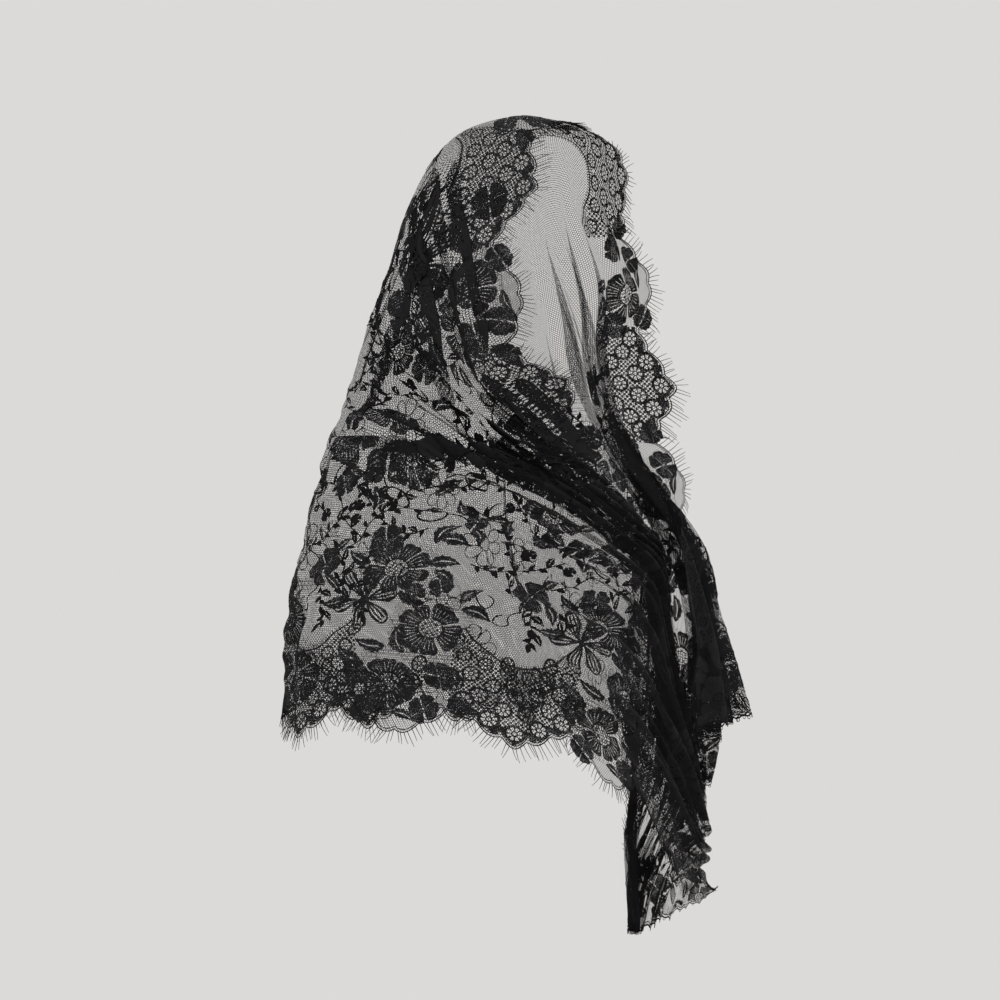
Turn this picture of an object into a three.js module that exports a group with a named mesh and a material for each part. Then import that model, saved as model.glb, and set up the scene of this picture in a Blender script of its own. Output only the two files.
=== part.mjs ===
// Lace veil as it is worn: one rectangular shawl of scalloped floral lace. It lies over the crown, one long edge
// frames the face, the short half falls beside the left shoulder, and the long half crosses the throat and chest
// to the same shoulder, where its end hangs down.
// Millimetres, +Z up. The wearer faces -Y and their left hand is at +X. The origin is the inside of the crown,
// where the veil rests on the head.

import * as THREE from 'three';

// Flat cloth: "along" runs its length and is 0 at the crown, "across" runs its width from the face edge to the hem.
const FALL_LENGTH = 660;
const WRAP_LENGTH = 1040;
const CLOTH_LENGTH = FALL_LENGTH + WRAP_LENGTH;
const CLOTH_WIDTH = 720;
const WALL = 1.2;

// Scalloped long edges: large lace points, with a lash fringe beyond them.
const POINT_COUNT = 16;
const POINT_PITCH = CLOTH_LENGTH / POINT_COUNT;
const POINT_REACH = 17;
const POINT_SHARPNESS = 1.3;
const FACE_POINT_SHIFT = POINT_PITCH / 3;
const LASH_LENGTH = 14;
const LASH_WALL = 0.8;

// Short ends: a corded edge.
const CORD_WIDTH = 4;
const CORD_WALL = 1.4;

// Clearance between neighbouring pieces.
const SEAM_GAP = 0.7;

// Folds: a set that runs along the cloth, and a fan that opens down the back from the crown. Each edge hangs in
// one straight pass, and the folds lie between the passes.
const EDGE_PASS = 40;
const PASS_COUNT = 18;
const PASS_WIDTH = (CLOTH_WIDTH - 2 * EDGE_PASS) / PASS_COUNT;
const EDGE_DEPTH = 4;
const FAN_CENTRE = { along: 20, across: 110 };
const FAN_PASS = THREE.MathUtils.degToRad(9);
const FAN_STARTS = 60;
const FAN_FULL = 220;

// Along the cloth, the fan gives way to the lengthwise folds between these two lines, which slant toward the wrap.
const FAN_ENDS = { along: 40, slant: 1 / 6 };
const LENGTHWISE_FULL = { along: 160, slant: 2 / 9 };

// Half of the distance over which the slope of the smooth cloth is taken.
const SLOPE_REACH = 14;

// Mesh steps along the cloth: three to a lace point.
const STEPS_ALONG = POINT_COUNT * 3;

// Where the cloth lies. Each row is one line across the cloth, at a distance along it from the crown, with a
// place for the face edge, the turn of that edge, the cheek, the side of the head, the gathered band, the skirt
// and the hem. The depth is how far folds may stand out there near the cheek, in the middle and near the hem.
const COLUMNS = ['face', 'turn', 'cheek', 'side', 'band', 'skirt', 'hem'];
const ACROSS = [0, 48, 108, 252, 410, 562, 720];
const DEPTH_ACROSS = [144, 324, 540];
const ROWS = [
  { along: -660, face: [138, -114, -612], turn: [170, -114, -604], cheek: [202, -106, -600], side: [222, -68, -608],
    band: [244, -24, -624], skirt: [251, 8, -668], hem: [242, 30, -722], depth: [4, 4, 3] },
  { along: -560, face: [126, -124, -512], turn: [152, -114, -510], cheek: [172, -98, -510], side: [196, -68, -520],
    band: [238, -28, -545], skirt: [260, 14, -612], hem: [262, 44, -694], depth: [6, 8, 9] },
  { along: -460, face: [116, -112, -416], turn: [136, -92, -412], cheek: [150, -80, -418], side: [174, -64, -430],
    band: [220, -20, -462], skirt: [252, 30, -548], hem: [262, 64, -668], depth: [7, 11, 12] },
  { along: -370, face: [118, -94, -330], turn: [94, -62, -326], cheek: [96, -46, -328], side: [132, -24, -352],
    band: [186, 18, -400], skirt: [230, 55, -500], hem: [246, 78, -645], depth: [7, 11, 14] },
  { along: -280, face: [100, -88, -242], turn: [80, -48, -238], cheek: [80, -28, -238], side: [104, 10, -270],
    band: [152, 50, -350], skirt: [192, 84, -470], hem: [212, 102, -625], depth: [7, 12, 14] },
  { along: -200, face: [82, -92, -165], turn: [90, -46, -162], cheek: [90, -12, -160], side: [98, 36, -205],
    band: [125, 76, -322], skirt: [150, 102, -455], hem: [165, 118, -610], depth: [7, 11, 14] },
  { along: -130, face: [62, -86, -100], turn: [76, -42, -94], cheek: [82, 8, -88], side: [86, 66, -165],
    band: [96, 94, -305], skirt: [110, 114, -448], hem: [118, 124, -602], depth: [5, 9, 13] },
  { along: -60, face: [36, -94, -32], turn: [47, -50, -22], cheek: [52, 10, -18], side: [58, 92, -136],
    band: [58, 106, -292], skirt: [60, 117, -442], hem: [64, 123, -598], depth: [2, 4, 10] },
  { along: 0, face: [0, -56, -8], turn: [0, -8, 1], cheek: [0, 54, -10], side: [0, 103, -126],
    band: [0, 110, -286], skirt: [0, 117, -437], hem: [0, 123, -594], depth: [1, 3, 8] },
  { along: 60, face: [-34, -74, -26], turn: [-44, -28, -15], cheek: [-50, 36, -16], side: [-66, 96, -142],
    band: [-66, 108, -292], skirt: [-68, 117, -440], hem: [-70, 123, -594], depth: [2, 3, 7] },
  { along: 120, face: [-60, -72, -80], turn: [-76, -28, -74], cheek: [-84, 32, -66], side: [-102, 96, -180],
    band: [-120, 110, -298], skirt: [-130, 117, -440], hem: [-134, 123, -592], depth: [5, 2, 6] },
  { along: 180, face: [-72, -66, -138], turn: [-88, -22, -138], cheek: [-98, 14, -140], side: [-126, 76, -222],
    band: [-160, 90, -306], skirt: [-186, 105, -442], hem: [-190, 111, -590], depth: [8, 2, 4] },
  { along: 240, face: [-72, -72, -198], turn: [-90, -30, -202], cheek: [-98, -12, -208], side: [-122, 30, -262],
    band: [-182, 58, -318], skirt: [-216, 76, -446], hem: [-232, 80, -588], depth: [9, 3, 3] },
  { along: 300, face: [-52, -84, -250], turn: [-76, -48, -262], cheek: [-86, -36, -272], side: [-104, -14, -298],
    band: [-166, 10, -328], skirt: [-228, 20, -446], hem: [-248, 24, -588], depth: [9, 6, 3] },
  { along: 360, face: [-12, -92, -285], turn: [-38, -78, -306], cheek: [-51, -70, -320], side: [-73, -59, -338],
    band: [-138, -38, -348], skirt: [-212, -36, -450], hem: [-232, -34, -582], depth: [5, 6, 3] },
  { along: 430, face: [38, -92, -337], turn: [19, -95, -354], cheek: [4, -99, -366], side: [-26, -106, -376],
    band: [-92, -86, -368], skirt: [-168, -88, -458], hem: [-192, -90, -585], depth: [5, 7, 3] },
  { along: 520, face: [92, -76, -390], turn: [78, -90, -404], cheek: [64, -102, -410], side: [34, -120, -420],
    band: [-20, -126, -414], skirt: [-90, -132, -475], hem: [-110, -138, -600], depth: [7, 9, 4] },
  { along: 620, face: [124, -40, -414], turn: [126, -56, -426], cheek: [120, -70, -436], side: [98, -94, -450],
    band: [58, -124, -462], skirt: [4, -150, -525], hem: [-16, -156, -642], depth: [6, 7, 5] },
  { along: 710, face: [138, -12, -494], turn: [148, -22, -500], cheek: [149, -38, -506], side: [138, -62, -514],
    band: [104, -96, -522], skirt: [72, -128, -588], hem: [60, -132, -694], depth: [5, 6, 6] },
  { along: 800, face: [144, -2, -582], turn: [156, -6, -588], cheek: [163, -20, -592], side: [164, -44, -598],
    band: [148, -76, -602], skirt: [138, -98, -655], hem: [126, -96, -755], depth: [5, 6, 6] },
  { along: 900, face: [146, 2, -680], turn: [160, 6, -688], cheek: [176, 0, -692], side: [190, -20, -696],
    band: [196, -46, -702], skirt: [190, -68, -732], hem: [180, -78, -770], depth: [5, 5, 4] },
  { along: 970, face: [146, -4, -750], turn: [160, 6, -757], cheek: [175, 8, -762], side: [196, 4, -764],
    band: [210, -12, -762], skirt: [210, -38, -764], hem: [204, -66, -782], depth: [4, 4, 2] },
  { along: 1040, face: [146, -12, -820], turn: [158, 4, -826], cheek: [172, 18, -830], side: [206, 34, -832],
    band: [236, 34, -824], skirt: [250, 10, -810], hem: [250, -24, -792], depth: [4, 4, 2] },
];
const ALONG = ROWS.map((row) => row.along);
const COLUMN_PLACES = COLUMNS.map((name) => ROWS.map((row) => row[name]));
const DEPTHS = ROWS.map((row) => row.depth);

const LACE_COLOUR = 0x1b1b1d;
const CORD_COLOUR = 0x101012;
const laceMaterial = new THREE.MeshStandardMaterial({ color: LACE_COLOUR, roughness: 0.85, metalness: 0 });
const cordMaterial = new THREE.MeshStandardMaterial({ color: CORD_COLOUR, roughness: 0.75, metalness: 0 });

// Slope of a smooth curve at one of its knots, for each number of its value.
function slopeAt(knots, values, index) {
  const last = knots.length - 1;
  const before = Math.max(index - 1, 0);
  const after = Math.min(index + 1, last);
  return values[index].map((value, axis) => {
    if (before === index || after === index) {
      return (values[after][axis] - values[before][axis]) / (knots[after] - knots[before]);
    }
    const stepBefore = knots[index] - knots[before];
    const stepAfter = knots[after] - knots[index];
    const slopeBefore = (value - values[before][axis]) / stepBefore;
    const slopeAfter = (values[after][axis] - value) / stepAfter;
    return (slopeBefore * stepAfter + slopeAfter * stepBefore) / (stepBefore + stepAfter);
  });
}

// Smooth curve through knots, continued as a straight line past both ends.
function curveThrough(knots, values, place) {
  const last = knots.length - 1;
  if (place < knots[0] || place > knots[last]) {
    const end = place < knots[0] ? 0 : last;
    const slope = slopeAt(knots, values, end);
    return values[end].map((value, axis) => value + slope[axis] * (place - knots[end]));
  }
  let index = 0;
  while (index < last - 1 && place >= knots[index + 1]) index += 1;
  const step = knots[index + 1] - knots[index];
  const u = (place - knots[index]) / step;
  const startSlope = slopeAt(knots, values, index);
  const endSlope = slopeAt(knots, values, index + 1);
  return values[index].map((value, axis) => (
    (2 * u ** 3 - 3 * u ** 2 + 1) * value
    + (u ** 3 - 2 * u ** 2 + u) * step * startSlope[axis]
    + (3 * u ** 2 - 2 * u ** 3) * values[index + 1][axis]
    + (u ** 3 - u ** 2) * step * endSlope[axis]
  ));
}

// The cloth without its folds.
function smoothPoint(along, across) {
  const line = COLUMN_PLACES.map((places) => curveThrough(ALONG, places, along));
  return new THREE.Vector3(...curveThrough(ACROSS, line, across));
}

// Folded line: -1 and 1 in turn at each whole number of passes.
function wave(passes) {
  const part = (passes - 1) - 2 * Math.floor((passes - 1) / 2);
  return 2 * Math.abs(part - 1) - 1;
}

// Passes of cloth between the face edge and a place across it.
function passesAcross(across) {
  if (across < EDGE_PASS) return (across + EDGE_PASS) / (2 * EDGE_PASS);
  const fromHem = CLOTH_WIDTH - across;
  if (fromHem < EDGE_PASS) return 2 + PASS_COUNT - (fromHem + EDGE_PASS) / (2 * EDGE_PASS);
  return 1 + (across - EDGE_PASS) / PASS_WIDTH;
}

// How far folds may stand out at a place, from the table.
function foldDepthLimit(along, across) {
  const place = THREE.MathUtils.clamp(along, ALONG[0], ALONG[ALONG.length - 1]);
  const [cheek, middle, hem] = curveThrough(ALONG, DEPTHS, place);
  const toMiddle = THREE.MathUtils.smoothstep(across, DEPTH_ACROSS[0], DEPTH_ACROSS[1]);
  const toHem = THREE.MathUtils.smoothstep(across, DEPTH_ACROSS[1], DEPTH_ACROSS[2]);
  return cheek * (1 - toMiddle) + middle * (toMiddle - toHem) + hem * toHem;
}

// Near an edge the folds are shallow, so that the scallops lie open.
function nearEdge(limit, fromEdge) {
  const open = 1 - THREE.MathUtils.smoothstep(fromEdge, EDGE_PASS / 2, 2 * EDGE_PASS);
  return Math.min(limit, EDGE_DEPTH) * open + limit * (1 - open);
}

// How deep a fold stands when its quarter width of cloth is drawn together by the part "drawn", up to a limit.
function foldDepth(quarter, drawn, limit) {
  return Math.min(quarter * Math.sqrt(Math.max(1 - drawn ** 2, 0)), limit);
}

// The cloth with its folds, which take up the width that the smooth cloth leaves over.
function clothPoint(along, across) {
  const point = smoothPoint(along, across);
  const stepAlong = smoothPoint(along + SLOPE_REACH, across)
    .sub(smoothPoint(along - SLOPE_REACH, across)).divideScalar(2 * SLOPE_REACH);
  const stepAcross = smoothPoint(along, across + SLOPE_REACH)
    .sub(smoothPoint(along, across - SLOPE_REACH)).divideScalar(2 * SLOPE_REACH);
  const outward = stepAlong.clone().cross(stepAcross).normalize();
  const limit = nearEdge(foldDepthLimit(along, across), across);

  const fanEnds = FAN_ENDS.along + across * FAN_ENDS.slant;
  const lengthwiseFull = LENGTHWISE_FULL.along + across * LENGTHWISE_FULL.slant;
  const lengthwise = THREE.MathUtils.smoothstep(along, fanEnds, lengthwiseFull);
  const lengthwiseLimit = nearEdge(limit, CLOTH_WIDTH - across);
  const lengthwiseDepth = foldDepth(PASS_WIDTH / 2, stepAcross.length(), lengthwiseLimit);

  const toFall = FAN_CENTRE.along - along;
  const toHem = across - FAN_CENTRE.across;
  const reach = Math.hypot(toFall, toHem);
  const angle = Math.atan2(toHem, toFall);
  const roundFan = stepAlong.clone().multiplyScalar(toHem / reach)
    .addScaledVector(stepAcross, toFall / reach);
  const fanDepth = foldDepth(reach * FAN_PASS / 2, roundFan.length(), limit)
    * THREE.MathUtils.smoothstep(reach, FAN_STARTS, FAN_FULL);

  const height = lengthwiseDepth * wave(passesAcross(across)) * lengthwise
    + fanDepth * wave(angle / FAN_PASS) * (1 - lengthwise);
  return point.addScaledVector(outward, height);
}

// How far the lace reaches past its edge line: most at a point's tip and least in the valley between two.
function pointReach(along, shift) {
  const turns = (along + FALL_LENGTH - shift) / POINT_PITCH;
  const fromTip = Math.abs(turns - Math.round(turns)) * 2;
  return POINT_REACH * (1 - 2 * fromTip ** POINT_SHARPNESS);
}

const facePointReach = (along) => pointReach(along, FACE_POINT_SHIFT);
const hemPointReach = (along) => pointReach(along, 0);

// Place across the cloth with both edges drawn out to their scallops.
function scallopedAcross(along, across) {
  const nearFace = Math.max(1 - across / EDGE_PASS, 0);
  const nearHem = Math.max(1 - (CLOTH_WIDTH - across) / EDGE_PASS, 0);
  return across - facePointReach(along) * nearFace + hemPointReach(along) * nearHem;
}

// A closed wall around a grid of points, thickened evenly to both sides.
function wallFromGrid(grid, wall) {
  const rows = grid.length;
  const columns = grid[0].length;
  const normals = grid.map((line) => line.map(() => new THREE.Vector3()));
  const addNormal = (a, b, c) => {
    const [pa, pb, pc] = [a, b, c].map(([row, column]) => grid[row][column]);
    const face = pb.clone().sub(pa).cross(pc.clone().sub(pa));
    for (const [row, column] of [a, b, c]) normals[row][column].add(face);
  };
  for (let row = 0; row < rows - 1; row += 1) {
    for (let column = 0; column < columns - 1; column += 1) {
      addNormal([row, column], [row + 1, column], [row + 1, column + 1]);
      addNormal([row, column], [row + 1, column + 1], [row, column + 1]);
    }
  }
  const positions = [];
  for (const side of [1, -1]) {
    grid.forEach((line, row) => line.forEach((point, column) => {
      const offset = normals[row][column].clone().normalize().multiplyScalar(side * wall / 2);
      positions.push(...point.clone().add(offset).toArray());
    }));
  }
  const count = rows * columns;
  const at = (row, column) => row * columns + column;
  const faces = [];
  for (let row = 0; row < rows - 1; row += 1) {
    for (let column = 0; column < columns - 1; column += 1) {
      const [a, b] = [at(row, column), at(row + 1, column)];
      const [c, d] = [at(row + 1, column + 1), at(row, column + 1)];
      faces.push(a, b, c, a, c, d);
      faces.push(a + count, c + count, b + count, a + count, d + count, c + count);
    }
  }
  const rim = [];
  for (let row = 0; row < rows; row += 1) rim.push(at(row, 0));
  for (let column = 1; column < columns; column += 1) rim.push(at(rows - 1, column));
  for (let row = rows - 2; row >= 0; row -= 1) rim.push(at(row, columns - 1));
  for (let column = columns - 2; column > 0; column -= 1) rim.push(at(0, column));
  rim.forEach((here, index) => {
    const next = rim[(index + 1) % rim.length];
    faces.push(here, here + count, next + count, here, next + count, next);
  });
  const geometry = new THREE.BufferGeometry();
  geometry.setAttribute('position', new THREE.Float32BufferAttribute(positions, 3));
  geometry.setIndex(faces);
  geometry.computeVertexNormals();
  return geometry;
}

function evenSteps(from, to, steps) {
  return Array.from({ length: steps + 1 }, (_, index) => from + (to - from) * index / steps);
}

const WHOLE_LENGTH = evenSteps(-FALL_LENGTH, WRAP_LENGTH, STEPS_ALONG);
const WHOLE_WIDTH = [0, EDGE_PASS / 2, ...evenSteps(EDGE_PASS, CLOTH_WIDTH - EDGE_PASS, 2 * PASS_COUNT),
  CLOTH_WIDTH - EDGE_PASS / 2, CLOTH_WIDTH];
const panelGrid = WHOLE_LENGTH.map((along) => (
  WHOLE_WIDTH.map((across) => clothPoint(along, scallopedAcross(along, across)))
));

// A strip that leaves the edge of the cloth in the direction in which the cloth ends there.
function edgeStrip(edgeLine, nextLine, width, wall) {
  const grid = edgeLine.map((edge, index) => {
    const direction = edge.clone().sub(nextLine[index]).normalize();
    return [SEAM_GAP, SEAM_GAP + width].map((distance) => edge.clone().addScaledVector(direction, distance));
  });
  return wallFromGrid(grid, wall);
}

const column = (index) => panelGrid.map((line) => line.at(index));
const wrapEnd = panelGrid.at(-1);
const wrapEndNext = panelGrid.at(-2);

function piece(name, geometry, material) {
  const mesh = new THREE.Mesh(geometry, material);
  mesh.name = name;
  return mesh;
}

const veil = new THREE.Group();
veil.name = 'lace_veil';
veil.add(piece('lace_panel', wallFromGrid(panelGrid, WALL), laceMaterial));
veil.add(piece('face_edge_fringe', edgeStrip(column(0), column(1), LASH_LENGTH, LASH_WALL), laceMaterial));
veil.add(piece('hem_fringe', edgeStrip(column(-1), column(-2), LASH_LENGTH, LASH_WALL), laceMaterial));
veil.add(piece('fall_end_cord', edgeStrip(panelGrid[0], panelGrid[1], CORD_WIDTH, CORD_WALL), cordMaterial));
veil.add(piece('wrap_end_cord', edgeStrip(wrapEnd, wrapEndNext, CORD_WIDTH, CORD_WALL), cordMaterial));

export default veil;
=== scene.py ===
# %% [markdown]
# # A floral lace veil, worn
# The veil is one rectangular shawl of machine lace: a net with flowers worked into it, two scalloped long
# edges with lashes, and two corded short ends. This lesson draws the lace flat, in millimetres, and then
# lays every piece of it on the same draped cloth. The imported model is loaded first, because it is the fixed
# frame: every piece has to lie where its nodes are.

# %% Load the frame
import math
import bpy
import numpy as np
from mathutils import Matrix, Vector


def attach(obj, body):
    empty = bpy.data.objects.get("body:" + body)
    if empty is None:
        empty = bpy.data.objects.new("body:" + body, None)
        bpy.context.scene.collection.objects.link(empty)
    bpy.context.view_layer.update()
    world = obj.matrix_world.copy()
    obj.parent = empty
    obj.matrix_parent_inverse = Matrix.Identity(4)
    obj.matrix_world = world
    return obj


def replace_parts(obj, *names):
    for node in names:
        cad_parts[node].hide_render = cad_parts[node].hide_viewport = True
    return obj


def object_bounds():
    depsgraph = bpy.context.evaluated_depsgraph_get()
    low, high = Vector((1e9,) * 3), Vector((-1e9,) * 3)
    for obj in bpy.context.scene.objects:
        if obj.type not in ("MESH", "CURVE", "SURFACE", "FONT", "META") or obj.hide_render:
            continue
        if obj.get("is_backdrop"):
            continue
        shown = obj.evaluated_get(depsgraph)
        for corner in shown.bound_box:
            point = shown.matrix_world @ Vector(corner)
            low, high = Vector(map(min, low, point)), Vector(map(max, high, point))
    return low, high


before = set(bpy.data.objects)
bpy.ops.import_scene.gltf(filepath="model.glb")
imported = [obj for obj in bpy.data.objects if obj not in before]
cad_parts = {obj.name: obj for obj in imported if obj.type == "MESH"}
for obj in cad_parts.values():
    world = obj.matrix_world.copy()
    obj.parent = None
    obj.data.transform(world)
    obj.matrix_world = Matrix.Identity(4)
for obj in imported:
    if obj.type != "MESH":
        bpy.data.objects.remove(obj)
cad_low, cad_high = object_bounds()
scene = bpy.context.scene
MM = 0.001
print("nodes", sorted(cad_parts))
print("size in mm", [round((high - low) / MM) for low, high in zip(cad_low, cad_high)])

# %% [markdown]
# ## Camera
# The camera comes early, so that a stopped script still shows the right view. It looks level at the veil
# from the front and a little from the wearer's right, 2.6 m away, and its picture is 1 m wide at the veil.

# %% Place the camera
CAMERA_AZIMUTH = math.radians(-40)
CAMERA_DISTANCE = 2.6
PICTURE_WIDTH = 1.0
PICTURE_SHIFT = -0.020
PICTURE_HEIGHT = -0.381
SENSOR = 36
right = Vector((math.cos(CAMERA_AZIMUTH), math.sin(CAMERA_AZIMUTH), 0))
back = Vector((math.sin(CAMERA_AZIMUTH), -math.cos(CAMERA_AZIMUTH), 0))
camera = bpy.data.objects.new("camera", bpy.data.cameras.new("camera"))
scene.collection.objects.link(camera)
camera.data.sensor_width = SENSOR
camera.data.lens = SENSOR * CAMERA_DISTANCE / PICTURE_WIDTH
camera.location = right * PICTURE_SHIFT + back * CAMERA_DISTANCE + Vector((0, 0, PICTURE_HEIGHT))
camera.rotation_mode = "QUATERNION"
camera.rotation_quaternion = (-back).to_track_quat("-Z", "Y")
camera.data.clip_end = 50
scene.camera = camera
print("lens in mm", round(camera.data.lens, 1))

# %% [markdown]
# ## The draped cloth
# A drape could be simulated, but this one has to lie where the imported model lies, so it is given by a
# chart. Each row of the chart is one line across the cloth, at a distance along it from the crown, and
# gives seven places on that line from the face edge to the hem. Smooth curves through the rows and the
# columns make the cloth.

# %% Chart of the cloth, in millimetres
FALL_LENGTH = 660
WRAP_LENGTH = 1040
CLOTH_WIDTH = 720
ACROSS = np.array([0, 48, 108, 252, 410, 562, 720], float)
DEPTH_ACROSS = (144, 324, 540)
# Each row: along, then face, turn, cheek, side, band, skirt and hem, then the depth of the folds.
ROWS = [
    (-660, (138, -114, -612), (170, -114, -604), (202, -106, -600), (222, -68, -608),
     (244, -24, -624), (251, 8, -668), (242, 30, -722), (4, 4, 3)),
    (-560, (126, -124, -512), (152, -114, -510), (172, -98, -510), (196, -68, -520),
     (238, -28, -545), (260, 14, -612), (262, 44, -694), (6, 8, 9)),
    (-460, (116, -112, -416), (136, -92, -412), (150, -80, -418), (174, -64, -430),
     (220, -20, -462), (252, 30, -548), (262, 64, -668), (7, 11, 12)),
    (-370, (118, -94, -330), (94, -62, -326), (96, -46, -328), (132, -24, -352),
     (186, 18, -400), (230, 55, -500), (246, 78, -645), (7, 11, 14)),
    (-280, (100, -88, -242), (80, -48, -238), (80, -28, -238), (104, 10, -270),
     (152, 50, -350), (192, 84, -470), (212, 102, -625), (7, 12, 14)),
    (-200, (82, -92, -165), (90, -46, -162), (90, -12, -160), (98, 36, -205),
     (125, 76, -322), (150, 102, -455), (165, 118, -610), (7, 11, 14)),
    (-130, (62, -86, -100), (76, -42, -94), (82, 8, -88), (86, 66, -165),
     (96, 94, -305), (110, 114, -448), (118, 124, -602), (5, 9, 13)),
    (-60, (36, -94, -32), (47, -50, -22), (52, 10, -18), (58, 92, -136),
     (58, 106, -292), (60, 117, -442), (64, 123, -598), (2, 4, 10)),
    (0, (0, -56, -8), (0, -8, 1), (0, 54, -10), (0, 103, -126),
     (0, 110, -286), (0, 117, -437), (0, 123, -594), (1, 3, 8)),
    (60, (-34, -74, -26), (-44, -28, -15), (-50, 36, -16), (-66, 96, -142),
     (-66, 108, -292), (-68, 117, -440), (-70, 123, -594), (2, 3, 7)),
    (120, (-60, -72, -80), (-76, -28, -74), (-84, 32, -66), (-102, 96, -180),
     (-120, 110, -298), (-130, 117, -440), (-134, 123, -592), (5, 2, 6)),
    (180, (-72, -66, -138), (-88, -22, -138), (-98, 14, -140), (-126, 76, -222),
     (-160, 90, -306), (-186, 105, -442), (-190, 111, -590), (8, 2, 4)),
    (240, (-72, -72, -198), (-90, -30, -202), (-98, -12, -208), (-122, 30, -262),
     (-182, 58, -318), (-216, 76, -446), (-232, 80, -588), (9, 3, 3)),
    (300, (-52, -84, -250), (-76, -48, -262), (-86, -36, -272), (-104, -14, -298),
     (-166, 10, -328), (-228, 20, -446), (-248, 24, -588), (9, 6, 3)),
    (360, (-12, -92, -285), (-38, -78, -306), (-51, -70, -320), (-73, -59, -338),
     (-138, -38, -348), (-212, -36, -450), (-232, -34, -582), (5, 6, 3)),
    (430, (38, -92, -337), (19, -95, -354), (4, -99, -366), (-26, -106, -376),
     (-92, -86, -368), (-168, -88, -458), (-192, -90, -585), (5, 7, 3)),
    (520, (92, -76, -390), (78, -90, -404), (64, -102, -410), (34, -120, -420),
     (-20, -126, -414), (-90, -132, -475), (-110, -138, -600), (7, 9, 4)),
    (620, (124, -40, -414), (126, -56, -426), (120, -70, -436), (98, -94, -450),
     (58, -124, -462), (4, -150, -525), (-16, -156, -642), (6, 7, 5)),
    (710, (138, -12, -494), (148, -22, -500), (149, -38, -506), (138, -62, -514),
     (104, -96, -522), (72, -128, -588), (60, -132, -694), (5, 6, 6)),
    (800, (144, -2, -582), (156, -6, -588), (163, -20, -592), (164, -44, -598),
     (148, -76, -602), (138, -98, -655), (126, -96, -755), (5, 6, 6)),
    (900, (146, 2, -680), (160, 6, -688), (176, 0, -692), (190, -20, -696),
     (196, -46, -702), (190, -68, -732), (180, -78, -770), (5, 5, 4)),
    (970, (146, -4, -750), (160, 6, -757), (175, 8, -762), (196, 4, -764),
     (210, -12, -762), (210, -38, -764), (204, -66, -782), (4, 4, 2)),
    (1040, (146, -12, -820), (158, 4, -826), (172, 18, -830), (206, 34, -832),
     (236, 34, -824), (250, 10, -810), (250, -24, -792), (4, 4, 2)),
]
ALONG = np.array([row[0] for row in ROWS], float)
PLACES = np.array([row[1:8] for row in ROWS], float)
DEPTHS = np.array([row[8] for row in ROWS], float)
print("rows", len(ROWS), "columns", len(ACROSS))


# %% Smooth curves through the chart
def per_row(values, like):
    """Lines values up with the first axis of like."""
    return values.reshape(-1, *[1] * (like.ndim - 1))


def knot_slopes(knots, values):
    steps = per_row(np.diff(knots), values)
    slopes = np.diff(values, axis=0) / steps
    inner = (slopes[:-1] * steps[1:] + slopes[1:] * steps[:-1]) / (steps[:-1] + steps[1:])
    return np.concatenate([slopes[:1], inner, slopes[-1:]])


def blend_knots(u, step, start, end, start_slope, end_slope):
    return ((2 * u ** 3 - 3 * u ** 2 + 1) * start + (u ** 3 - 2 * u ** 2 + u) * step * start_slope
            + (3 * u ** 2 - 2 * u ** 3) * end + (u ** 3 - u ** 2) * step * end_slope)


def curve_through(knots, values, places):
    """Values between the knots, and a straight line past both ends."""
    slopes = knot_slopes(knots, values)
    index = np.clip(np.searchsorted(knots, places, side="right") - 1, 0, len(knots) - 2)
    step = per_row(knots[index + 1] - knots[index], values)
    place = per_row(places, values)
    u = (place - per_row(knots[index], values)) / step
    between = blend_knots(u, step, values[index], values[index + 1], slopes[index], slopes[index + 1])
    before = values[0] + slopes[0] * (place - knots[0])
    after = values[-1] + slopes[-1] * (place - knots[-1])
    return np.where(place < knots[0], before, np.where(place > knots[-1], after, between))


def smooth_cloth(along, across):
    """The cloth without folds, on a grid of along by across."""
    lines = curve_through(ALONG, PLACES, along)
    points = curve_through(ACROSS, np.moveaxis(lines, 1, 0), across)
    return np.moveaxis(points, 0, 1)


def smoothstep(value, low, high):
    u = np.clip((value - low) / (high - low), 0, 1)
    return u * u * (3 - 2 * u)


over_crown = smooth_cloth(np.zeros(1), np.array([CLOTH_WIDTH / 2]))[0, 0]
print("middle of the cloth's width over the crown, in mm", over_crown.round())

# %% [markdown]
# ## Folds
# The cloth is wider than the way it hangs, so the spare width goes into folds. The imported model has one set
# of about 36 mm to a pass. Real net gathers finer than that, so a second set of about 15 mm to a pass takes
# up what is left. Cloth bends but doesn't stretch, and a strip of it that is pushed together takes a shape
# whose slope swings like a sine. That shape is worked out once for each amount of swing, and looked up for
# each place from how much the cloth is drawn together there. Where it is drawn tight, as under the chin,
# the folds hang over each other and the lace turns nearly black.

# %% Shape of a gathered strip
MOST_SWING = 2.4
SWING_STEPS = 48
PHASE_STEPS = 96
swings = np.linspace(0, MOST_SWING, SWING_STEPS + 1)
phases = np.linspace(0, 2 * np.pi, PHASE_STEPS + 1)
slope_angle = swings[:, None] * np.sin(phases)
DRAWN_BY_SWING = np.cos(slope_angle[:, :-1]).mean(1)


def running_sum(values):
    """Sum along the strip, in passes of cloth."""
    parts = np.cumsum((values[:, 1:] + values[:, :-1]) / 2, axis=1)
    return np.concatenate([np.zeros((len(values), 1)), parts], 1) * phases[1] / np.pi


SIDE_SHAPE = running_sum(np.cos(slope_angle) - DRAWN_BY_SWING[:, None])
HEIGHT_SHAPE = running_sum(np.sin(slope_angle))
HEIGHT_SHAPE -= HEIGHT_SHAPE.mean(1, keepdims=True)
print("tightest gather leaves", round(float(DRAWN_BY_SWING[-1]), 2), "of the width")


def length_of(vectors):
    return np.linalg.norm(vectors, axis=-1)


def unit(vectors):
    return vectors / np.maximum(length_of(vectors), 1e-9)[..., None]


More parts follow.
